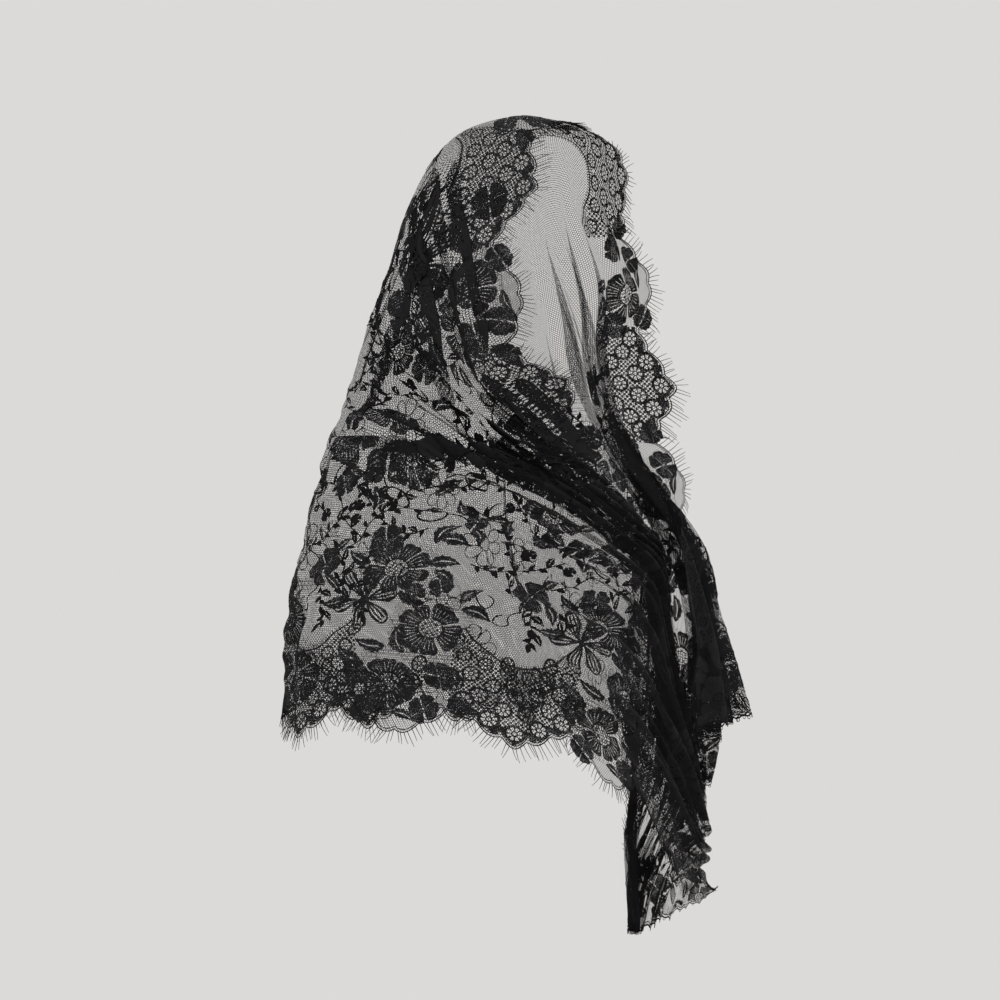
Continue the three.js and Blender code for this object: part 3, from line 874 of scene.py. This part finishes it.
# %% Edge line
POINT_PITCH = 106.25
REPEAT = 2 * POINT_PITCH
POINT_REACH = 17
POINT_SHARPNESS = 1.3
SMALL_SCALLOPS = 9
SCALLOP_PITCH = REPEAT / SMALL_SCALLOPS
SCALLOP_DEPTH = 7
ROSETTE_CENTRES = {"face": 119.2, "hem": 83.75}


def point_line(x):
    """The large points, where x is 0 in the middle of a point of rosettes."""
    turns = x / POINT_PITCH
    from_tip = np.abs(turns - np.round(turns)) * 2
    return -POINT_REACH * (1 - 2 * from_tip ** POINT_SHARPNESS)


def edge_line(x):
    """The large points with their small scallops, which are round outward and pointed inward."""
    turns = x / SCALLOP_PITCH + 0.5
    inside = turns - np.floor(turns)
    return point_line(x) + SCALLOP_DEPTH * (0.5 - np.abs(np.sin(np.pi * inside)) ** 0.9)


def swag_line(x):
    return 70 + 35 * (x / 50) ** 2


one_repeat = edge_line(np.linspace(0, REPEAT, 400))
print("the edge line swings in mm from", round(one_repeat.min(), 1), "to", round(one_repeat.max(), 1))

# %% [markdown]
# ## One repeat of the border
# The repeat is charted. First the rosettes: rows that follow the point, each smaller than the one
# before, as far in as the swag. Round the first row the ground is clothwork, and further in every other
# cell of it is open.

# %% Rosettes and ground of one repeat
ROSETTE_RADII = (9.6, 8.6, 8.0, 7.0, 6.4)
FIRST_ROW = 14.5
ROW_PITCH = 18.2
GROUND_CELL = 2.4


def border_rosettes(rows):
    lace = Lace()
    spots = []
    for row, radius in enumerate(ROSETTE_RADII[:rows]):
        for k in range(-3, 4):
            x = (k + 0.5 * (row % 2)) * (SCALLOP_PITCH - 1.3 * row)
            y = point_line(x) * (1 - 0.15 * row) + FIRST_ROW + ROW_PITCH * row
            if abs(x) < 58 and y + radius < swag_line(x) - 2:
                spots.append((x, y, radius))
                lace.stamp(ROSETTE, x, y, 11 * k + 17 * row, radius)
    x, y = np.meshgrid(np.arange(-59, 59, GROUND_CELL), np.arange(-24, 96, GROUND_CELL), indexing="ij")
    outer_rows = y < point_line(x) * 0.9 + FIRST_ROW + 0.5
    every_other = (np.round(x / GROUND_CELL) + np.round(y / GROUND_CELL)) % 2 == 0
    keep = (y > edge_line(x) + 5) & (outer_rows | every_other) & (y < swag_line(x) - 8) & (y < 18 * rows + 5)
    for rosette_x, rosette_y, radius in spots:
        keep &= np.hypot(x - rosette_x, y - rosette_y) > radius * 0.93
    middles = np.stack([x[keep], y[keep], np.full(keep.sum(), FLAT_LIFT)], 1)
    corners = np.array([(-1, -1, 0), (1, -1, 0), (1, 1, 0), (-1, 1, 0)]) * GROUND_CELL / 2
    places = (middles[:, None] + corners).reshape(-1, 3)
    return lace.add(places, np.arange(len(places)).reshape(-1, 4))


ROSETTE_GROUND = border_rosettes(rows=len(ROSETTE_RADII))
NARROW_GROUND = border_rosettes(rows=2)
print("faces of the rosettes", len(ROSETTE_GROUND.all()[1]))


# %% Swag of one repeat
def border_swag():
    """The swag: a cord with a comb of short threads on both sides."""
    x = np.linspace(-50, 50, 44)
    line = np.stack([x, swag_line(x)], 1)
    lace = cord(Lace(), line, 2.0)
    strip(lace, line, [-4.6, -4.0])
    sideways = unit(np.gradient(line, axis=0))[:, ::-1] * (-1, 1)
    for point, out in zip(line, sideways):
        thread_line(lace, np.stack([point + out * 0.5, point + out * 4.2]), 0.8)
        thread_line(lace, np.stack([point - out * 0.5, point - out * 6.5]), 0.9)
    return lace


SWAG = border_swag()
print("faces of the swag", len(SWAG.all()[1]))

# %% [markdown]
# Then the flowers, the bow and the sprigs. Each group of the chart is a motif with all that it is drawn at:
# x and y from the middle of the point of rosettes, turn and size. The point of flowers lies half a repeat
# further back.

# %% Chart of the flowers
BACK = -POINT_PITCH


def spread(groups):
    """A chart from groups: a motif with every x, y, turn and size at which it is drawn."""
    return [(motif, *spot) for motif, *spots in groups for spot in spots]


FLOWER_CHART = spread([
    (BIG_FLOWERS[0], (BACK - 12, 38, 10, 0.96)),
    (BIG_FLOWERS[1], (BACK + 24, 102, 35, 1.0)),
    (BIG_FLOWERS[2], (BACK - 22, 168, 70, 1.02)),
    (DARK_ROSE, (BACK + 24, 12, 20, 0.85), (BACK - 42, 195, 15, 1.0), (BACK - 36, 8, 50, 0.8),
     (5, 160, 40, 1.1), (BACK + 36, 50, 80, 0.85), (BACK - 46, 46, 15, 0.8), (BACK + 56, 18, 40, 0.6),
     (BACK + 2, 138, 70, 0.75), (BACK + 26, 152, 20, 0.7)),
    (SERRATED_LEAF, (BACK + 2, 72, 110, 0.9), (BACK - 16, 78, 170, 0.9), (BACK - 6, 6, -20, 0.7),
     (BACK + 50, 128, -20, 0.9), (BACK + 48, 134, 50, 0.8), (BACK + 6, 178, 10, 0.9),
     (BACK + 14, 172, -35, 0.8), (BACK + 40, 62, -60, 0.8), (BACK - 40, 60, 150, 0.9),
     (BACK - 62, 130, 200, 0.9), (BACK - 50, 172, 160, 0.8), (BACK - 20, 262, 60, 0.9),
     (BACK + 62, 236, 100, 0.8), (12, 174, 60, 0.7), (16, 150, -50, 0.7)),
    (BOW, (BACK - 45, 128, 0, 1.0)),
])
SPRIG_CHART = spread([
    (EYELET, (BACK - 12, 236, 20, 1.0), (51, 250, 160, 1.0), (BACK + 8, 292, 70, 0.8),
     (-66, 266, 60, 0.8)),
    (FLORET, (-18, 214, 0, 1.2), (24, 214, 30, 1.0), (BACK + 22, 250, 0, 1.2), (12, 112, 10, 0.8)),
])
print("flowers and sprigs in a repeat", len(FLOWER_CHART) + len(SPRIG_CHART))

# %% Chart of the middle of the cloth
# In the middle of the cloth, counted in from the hem.
FIELD_FLOWER_CHART = spread([
    (ROUND_FLOWER, (52, 287, 0, 1.0)),
    (BIG_FLOWERS[2], (-25, 292, 25, 0.86)),
    (BIG_FLOWERS[1], (-14, 376, 20, 0.86)),
    (ROUND_FLOWER, (84, 352, 40, 0.9)),
    (DARK_ROSE, (18, 268, 0, 0.8), (-14, 250, 30, 0.75), (-52, 352, 10, 0.9), (38, 340, 50, 0.8),
     (BACK + 30, 240, 0, 0.6)),
    (SERRATED_LEAF, (BACK + 34, 246, 30, 0.8), (BACK + 30, 232, -60, 0.8), (BACK + 24, 246, 140, 0.8),
     (BACK + 4, 204, 60, 0.9), (BACK + 8, 208, 0, 0.8), (24, 252, -60, 0.8), (4, 262, 160, 0.8),
     (34, 262, 20, 0.7), (70, 308, 30, 0.8), (-54, 308, 170, 0.8), (2, 318, 70, 0.8),
     (-46, 386, 150, 0.8)),
    (ROUND_FLOWER, (60, 432, 0, 0.9)),
    (DARK_ROSE, (-64, 436, 20, 0.9)),
    (SERRATED_LEAF, (-50, 446, 30, 0.8), (-80, 428, 190, 0.8)),
])
# In the quiet parts, in outline.
LINE_CHART = spread([
    (LINE_FLOWER, (BACK + 26, 18, 0, 0.6), (BACK - 36, 16, 30, 0.6), (BACK - 14, 62, 0, 0.9),
     (BACK + 26, 112, 20, 0.9), (BACK - 22, 172, 10, 0.9), (BACK + 30, 226, 0, 0.8), (4, 162, 30, 0.8),
     (44, 290, 0, 0.9), (-30, 300, 20, 0.9)),
])
print("flowers of the field in a repeat", len(FIELD_FLOWER_CHART))

# %% Chart of the stems
# Stems: points from the middle of the point of rosettes, with leaves along them.
STEM_STEP = 2.5
STEMS = [
    ([(-62, 186), (-40, 182), (-20, 190), (0, 204), (16, 222)], 9),
    ([(-49, 150), (-44, 138), (-35, 132), (-30, 140), (-36, 147)], 0),
    ([(-18, 127), (-24, 124), (-25, 117), (-18, 113), (-11, 117), (-12, 125), (4, 140)], 0),
    ([(5, 142), (10, 126), (12, 108), (10, 100)], 7),
    ([(20, 180), (38, 200), (44, 222), (62, 236), (90, 240)], 11),
    ([(-20, 216), (-44, 232), (-60, 252), (-84, 258)], 11),
    ([(60, 262), (80, 276), (104, 282), (118, 300)], 10),
    ([(36, 118), (44, 134), (38, 150), (48, 168)], 9),
    ([(-4, 262), (10, 244), (34, 246)], 9),
]
FIELD_STEMS = [
    ([(-106, 372), (-80, 352), (-52, 364), (-24, 388), (4, 382), (34, 356), (62, 350),
      (92, 366), (106, 372)], 10),
    ([(-52, 364), (-40, 396), (-46, 426), (-30, 456)], 9),
    ([(34, 356), (42, 392), (34, 424), (48, 452)], 9),
    ([(-100, 440), (-86, 416), (-96, 392)], 9),
    ([(92, 366), (84, 404), (96, 440), (82, 470)], 10),
]
print("stems", len(STEMS) + len(FIELD_STEMS))


# %% Stems with leaves
def leafy_stem(points, leaf_spacing, seed):
    """A thin stem with small leaves in turn on both sides."""
    random = np.random.default_rng(seed)
    line = through(points, STEM_STEP)
    lace = cord(Lace(), line, 1.5)
    if not leaf_spacing:
        return lace
    heading = np.degrees(np.arctan2(*np.gradient(line, axis=0)[:, ::-1].T))
    for k, i in enumerate(range(2, len(line) - 1, int(leaf_spacing / STEM_STEP))):
        turn = heading[i] + (48 if k % 2 else -48) + random.uniform(-12, 12)
        lace.stamp(SMALL_LEAF if k % 4 == 1 else DROP, *line[i], turn, random.uniform(0.75, 1.05))
    return lace.stamp(DROP, *line[-1], heading[-1], 1.1)


def in_place(motifs):
    """A chart of motifs that are drawn at their own places in the repeat."""
    return [(motif, 0, 0, 0, 1.0) for motif in motifs]


STEM_CHART = in_place([leafy_stem(*stem, seed) for seed, stem in enumerate(STEMS)])
FIELD_CHART = in_place([leafy_stem(*stem, 20 + seed) for seed, stem in enumerate(FIELD_STEMS)])
FIELD_CHART += [(FLORET, x, y, x, 0.95) for x, y in ((-52, 364), (34, 356), (-30, 458), (48, 456), (92, 366))]
print("motifs in a repeat", len(FLOWER_CHART) + len(SPRIG_CHART) + len(STEM_CHART) + len(FIELD_CHART))

# %% [markdown]
# Between the flowers the net gives way to a coarse brick ground: short bars 5 mm apart, in rows 4 mm apart.
# It fills only the gaps close to the big flowers. Bars that a flower would hide are left out.

# %% Brick ground of one repeat
BRICK_LENGTH = 5.0
BRICK_ROW = 4.2
BRICK_REACH = 41
BRICK_THREAD = 0.55


def brick_ground():
    lace = Lace()
    big = [(x, y, 30 * size) for motif, x, y, _, size in FLOWER_CHART if motif in BIG_FLOWERS]
    for row in range(46):
        y = 6 + row * BRICK_ROW
        for k in range(-14, 15):
            x = BACK + (k + row % 2 / 2) * BRICK_LENGTH
            away = [math.hypot(x - flower_x, y - flower_y) for flower_x, flower_y, _ in big]
            hidden = any(distance < radius for distance, (_, _, radius) in zip(away, big))
            if hidden or min(away) > BRICK_REACH or y < edge_line(x) + 6:
                continue
            thread_line(lace, [(x, y), (x + BRICK_LENGTH / 2, y), (x + BRICK_LENGTH, y)], BRICK_THREAD)
            thread_line(lace, [(x, y), (x, y + BRICK_ROW)], BRICK_THREAD)
    return lace


BRICKS = brick_ground()
print("faces of the bricks", len(BRICKS.all()[1]))


# %% [markdown]
# ## Lay the lace on the cloth
# A border is the repeat copied along an edge. The face edge and the hem are the same border, mirrored. What
# would pass the short ends is cut off there, and each flat drawing becomes one mesh.

# %% Quiet parts of the pattern
# The left side of the hood, the top of the left shoulder, the hem from there past the middle of the back, and
# the net behind the right shoulder. Each is an edge, a stretch along it, and a stretch in from it.
QUIET = [
    ("face", -340, -265, 230, 720),
    ("face", -265, -35, 90, 720),
    ("face", -35, 45, 60, 190),
    ("hem", -330, -35, 340, 720),
    ("hem", -390, 175, 0, 345),
    ("hem", 120, 200, 330, 400),
    ("hem", 120, 300, 424, 500),
]


def is_quiet(edge, along, y):
    """Whether a place lies in a quiet part of its edge."""
    return any(edge == where and start < along < end and near < y < far
               for where, start, end, near, far in QUIET)


print("the middle of the hood's left side is quiet:", is_quiet("face", -150, 300))

# %% Charts along an edge
END_MARGIN = 2
# Where a chart is drawn.
FULL_PARTS, QUIET_PARTS, ANYWHERE = False, True, None


def stamp_chart(lace, chart, edge, quiet):
    """Motifs of a chart in every repeat along an edge, in the full parts, the quiet parts or anywhere."""
    for repeat in range(-5, 6):
        shift = ROSETTE_CENTRES[edge] + repeat * REPEAT
        for motif, x, y, turn, size in chart:
            middle = motif.all()[0].mean(0) if (x, y) == (0, 0) else (0, 0)
            if quiet in (ANYWHERE, is_quiet(edge, x + shift + middle[0], y + middle[1])):
                lace.stamp(motif, x + shift, y, turn, size)


def to_cloth(places, edge):
    """Places of a border, with y counted in from its edge, as along, across and lift."""
    along, y, lift = np.moveaxis(places, -1, 0)
    return np.stack([along, y if edge == "face" else CLOTH_WIDTH - y, lift], -1)


def along_edge(edge, *charts):
    """Charts in every repeat of an edge, each with the parts it is for, cut at the short ends."""
    lace = Lace()
    for chart, quiet in charts:
        stamp_chart(lace, chart, edge, quiet)
    places, faces = lace.all()
    laid = to_cloth(places, edge)
    inside = (laid[:, 0] > END_MARGIN - FALL_LENGTH) & (laid[:, 0] < WRAP_LENGTH - END_MARGIN)
    kept = faces[inside[faces].all(1)]
    used, renamed = np.unique(kept, return_inverse=True)
    return laid[used], renamed.reshape(-1, 4)


print("bricks along the face edge", len(along_edge("face", (in_place([BRICKS]), FULL_PARTS))[1]))


def build_mesh(name, points, faces, flat, material):
    mesh = bpy.data.meshes.new(name)
    mesh.from_pydata(points.tolist(), [], faces.tolist())
    layer = mesh.uv_layers.new(name="flat_cloth")
    layer.uv.foreach_set("vector", flat_uv(flat)[faces.ravel()].astype(np.float32).ravel())
    mesh.materials.append(material)
    mesh.shade_smooth()
    piece = bpy.data.objects.new(name, mesh)
    scene.collection.objects.link(piece)
    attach(piece, "root")
    print(name, "triangles", sum(len(p.vertices) - 2 for p in mesh.polygons))
    return piece


def flat_uv(places):
    """The flat place in metres, so that the materials can draw at a real scale."""
    return (places[:, :2] + (FALL_LENGTH + GRID_MARGIN, GRID_MARGIN)) * MM


def lay(name, places, faces, material, slot="lace"):
    """A piece of lace at its flat places on the cloth."""
    return build_mesh(name, on_cloth(places), faces, places, material)


print("the crown's edge as a flat place in metres", flat_uv(np.zeros((1, 3)))[0].round(3))

# %% [markdown]
# ### The net
# The net is one sheet, 1.70 m long and 0.72 m wide when flat. Its mesh is fine enough to follow the
# gathers, and its long sides follow the edge line.

# %% Net sheet
NET_ALONG = 4.0
NET_ACROSS = 3.2


def edge_inset(along, edge):
    return edge_line(along - ROSETTE_CENTRES[edge])


def net_sheet():
    along = np.linspace(-FALL_LENGTH, WRAP_LENGTH, int((FALL_LENGTH + WRAP_LENGTH) / NET_ALONG) + 1)
    across = np.linspace(0, CLOTH_WIDTH, int(CLOTH_WIDTH / NET_ACROSS) + 1)
    a, c = np.meshgrid(along, across, indexing="ij")
    c = (c + (edge_inset(a, "face") + 1) * np.clip(1 - c / EDGE_PASS, 0, 1)
         - (edge_inset(a, "hem") + 1) * np.clip(1 - (CLOTH_WIDTH - c) / EDGE_PASS, 0, 1))
    places = np.stack([a, c, np.zeros(a.shape)], -1).reshape(-1, 3)
    return lay("lace_net", places, grid_faces(*a.shape)[:, [0, 3, 2, 1]], bobbinet)


net = net_sheet()
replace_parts(net, "lace_panel")
net_area = sum(p.area for p in net.data.polygons)
print("net area in square metres", round(net_area, 3), "of", CLOTH_WIDTH * (FALL_LENGTH + WRAP_LENGTH) / 1e6)

# %% Borders
ROSETTE_CHART = in_place([ROSETTE_GROUND, SWAG])
NARROW_CHART = in_place([NARROW_GROUND])
for edge in ("face", "hem"):
    flowers = along_edge(edge, (FLOWER_CHART, FULL_PARTS))
    rosettes = along_edge(edge, (NARROW_CHART, QUIET_PARTS), (ROSETTE_CHART, FULL_PARTS))
    sprig_parts = ANYWHERE if edge == "hem" else FULL_PARTS
    sprigs = along_edge(edge, (SPRIG_CHART, sprig_parts), (STEM_CHART, sprig_parts))
    bricks = along_edge(edge, (in_place([BRICKS]), FULL_PARTS))
    lay(edge + "_border_flowers", *flowers, clothwork)
    lay(edge + "_border_rosettes", *rosettes, clothwork)
    lay(edge + "_border_sprigs", *sprigs, cordonnet)
    lay(edge + "_brick_ground", *bricks, clothwork)
lay("quiet_flowers", *along_edge("hem", (LINE_CHART, QUIET_PARTS)), cordonnet)
lay("field_branches", *along_edge("hem", (FIELD_CHART, FULL_PARTS)), cordonnet)
lay("field_flowers", *along_edge("hem", (FIELD_FLOWER_CHART, FULL_PARTS)), clothwork)

# %% [markdown]
# ### Edge cords and lashes
# Two fine cords follow the small scallops. Beyond them the cut threads of the loom stand out as lashes, 12
# to 17 mm long and about 3.3 mm apart, square to the point. Each lash is a thin three-sided thread, so it
# shows from every side.

# %% Edge cords
def edge_cords(edge):
    lace = Lace()
    along = np.arange(-FALL_LENGTH, WRAP_LENGTH + 0.1, 2.5)
    inset = edge_inset(along, edge)
    for away, width in ((0.6, 1.2), (3.8, 1.0)):
        cord(lace, np.stack([along, inset + away], 1), width)
    places, faces = lace.all()
    lay(edge + "_edge_cords", to_cloth(places, edge), faces, cordonnet)


for edge in ("face", "hem"):
    edge_cords(edge)

# %% Lashes
LASH_PITCH = 3.3
LASH_THICKNESS = 0.85
LASH_LENGTHS = (12.5, 16.5)
LASH_RINGS = 5
LASH_SIDES = 3
LASH_NODES = {"face": "face_edge_fringe", "hem": "hem_fringe"}


def lash_threads(edge, seed):
    """The lashes of an edge: each a line of rings, bent and lifted a little at random."""
    random = np.random.default_rng(seed)
    roots = np.arange(-FALL_LENGTH + 3, WRAP_LENGTH - 3, LASH_PITCH)
    roots = roots + random.uniform(-0.5, 0.5, len(roots))
    x = roots - ROSETTE_CENTRES[edge]
    point_slope = (point_line(x + 6) - point_line(x - 6)) / 12
    lean = 0.85 * point_slope + random.normal(0, 0.07, len(x))
    length = random.uniform(*LASH_LENGTHS, len(x))
    part = np.linspace(0, 1, LASH_RINGS)
    bend = random.normal(0, 1.1, len(x))
    along = roots[:, None] + (lean * length)[:, None] * part + bend[:, None] * part ** 2
    y = (edge_line(x) + 0.8)[:, None] - length[:, None] * part
    lift = random.normal(0, 1.2, len(x))[:, None] * part ** 2
    flat = to_cloth(np.stack([along, y, lift], -1), edge)
    centre = on_cloth(flat.reshape(-1, 3)).reshape(flat.shape)
    outer = unit(on_grid(OUTER, flat[..., 0].ravel(), flat[..., 1].ravel())).reshape(flat.shape)
    sideways = unit(np.cross(unit(np.gradient(centre, axis=1)), outer))
    thick = LASH_THICKNESS / 2 * MM * np.linspace(1, 0.55, LASH_RINGS)[:, None]
    turns = np.arange(LASH_SIDES) / LASH_SIDES * 2 * np.pi
    corners = [centre + thick * (math.cos(turn) * outer + math.sin(turn) * sideways) for turn in turns]
    points = np.stack(corners, 2).reshape(-1, 3)
    lash, ring, side = np.indices((len(x), LASH_RINGS - 1, LASH_SIDES)).reshape(3, -1)
    first = (lash * LASH_RINGS + ring) * LASH_SIDES
    here = first + side
    after = first + (side + 1) % LASH_SIDES
    faces = np.stack([here, after, after + LASH_SIDES, here + LASH_SIDES], 1)
    flat_places = np.repeat(flat.reshape(-1, 3), LASH_SIDES, 0)
    return build_mesh(edge + "_lashes", points, faces, flat_places, cordonnet)


for seed, edge in enumerate(("face", "hem")):
    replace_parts(lash_threads(edge, seed), LASH_NODES[edge])

# %% [markdown]
# ### Corded short ends
# The short ends have no lashes. A raised cord runs in small scallops, and a picot, a tiny loop of thread,
# stands on each of them.

# %% Short ends
PICOT_PITCH = 14.4
END_NODES = {"fall": "fall_end_cord", "wrap": "wrap_end_cord"}


def end_cord(name):
    lace = Lace()
    outward = -1 if name == "fall" else 1
    end = -FALL_LENGTH if name == "fall" else WRAP_LENGTH
    face_start = float(edge_inset(np.array(end), "face"))
    hem_end = CLOTH_WIDTH - float(edge_inset(np.array(end), "hem"))
    across = np.arange(face_start, hem_end, 1.8)
    bulge = np.abs(np.sin(np.pi * across / PICOT_PITCH))
    for away, width in ((1.6, 2.0), (-2.0, 1.2)):
        cord(lace, np.stack([end + outward * (away + 3 * bulge - 2), across], 1), width)
    for middle in np.arange(PICOT_PITCH / 2, CLOTH_WIDTH, PICOT_PITCH):
        if face_start < middle < hem_end:
            cord(lace, circle(1.9, 10, end + outward * 4.4, middle), 0.8, closed=True)
    return lay(name + "_end_picots", *lace.all(), cordonnet, "edge_cord")


for name in ("fall", "wrap"):
    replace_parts(end_cord(name), END_NODES[name])

# %% [markdown]
# ## The sheet
# The net is one draped sheet of cloth, and all other pieces of lace are on it.

# %% [markdown]
# ## Floor and light
# A pale floor lies well below the veil and stays out of the main view. The light is a bright, even room
# with one large soft lamp on each side, so that the black lace reads by what shows through it.

# %% Floor
floor_material = new_finish("pale_matt_floor", "#d8d5d2", 0.9)[0]
FLOOR_HEIGHT = -1.6
FLOOR_RADIUS = 3.0
rim = circle(FLOOR_RADIUS, 96)
floor_mesh = bpy.data.meshes.new("floor")
floor_mesh.from_pydata([(x, y, FLOOR_HEIGHT) for x, y in rim], [], [tuple(range(len(rim)))])
floor_mesh.materials.append(floor_material)
floor = bpy.data.objects.new("floor", floor_mesh)
scene.collection.objects.link(floor)
floor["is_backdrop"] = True
print("floor at", FLOOR_HEIGHT, "m, under the veil's lowest point at", round(cad_low[2], 2), "m")

# %% Room
ROOM_COLOUR = "#dcdad8"
# Each layer of net is see-through, so a ray passes many before it leaves the folds.
TRANSPARENT_BOUNCES = 48
world = bpy.data.worlds.new("pale_room")
scene.world = world
world.use_nodes = True
background = world.node_tree.nodes["Background"]
background.inputs["Color"].default_value = linear(ROOM_COLOUR)
background.inputs["Strength"].default_value = 1.0
scene.view_settings.view_transform = "Standard"
scene.cycles.transparent_max_bounces = TRANSPARENT_BOUNCES
print("room", ROOM_COLOUR, "see-through layers", TRANSPARENT_BOUNCES)

# %% Lamps
# Each lamp: its name, place, size in metres and power in watts.
LAMPS = [
    ("key_lamp", (-2.2, -2.4, 1.2), 1.6, 60),
    ("fill_lamp", (2.6, -1.2, 0.6), 1.8, 25),
]
for name, place, size, power in LAMPS:
    lamp = bpy.data.objects.new(name, bpy.data.lights.new(name, "AREA"))
    lamp.data.size = size
    lamp.data.energy = power
    lamp.location = place
    lamp.rotation_mode = "QUATERNION"
    lamp.rotation_quaternion = (Vector(place) - Vector((0, 0, PICTURE_HEIGHT))).to_track_quat("Z", "Y")
    scene.collection.objects.link(lamp)
    print(name, "is", round(Vector(place).length, 1), "m from the crown")

# %% [markdown]
# ## Size
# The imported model's box and the visual model's box are written side by side, so that they can be compared.

# %% Write the sizes and finish
low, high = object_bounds()
for axis, a, b, c, d in zip("xyz", cad_low, cad_high, low, high):
    print(axis, "packed", round(a / MM), round(b / MM), "visual", round(c / MM), round(d / MM))
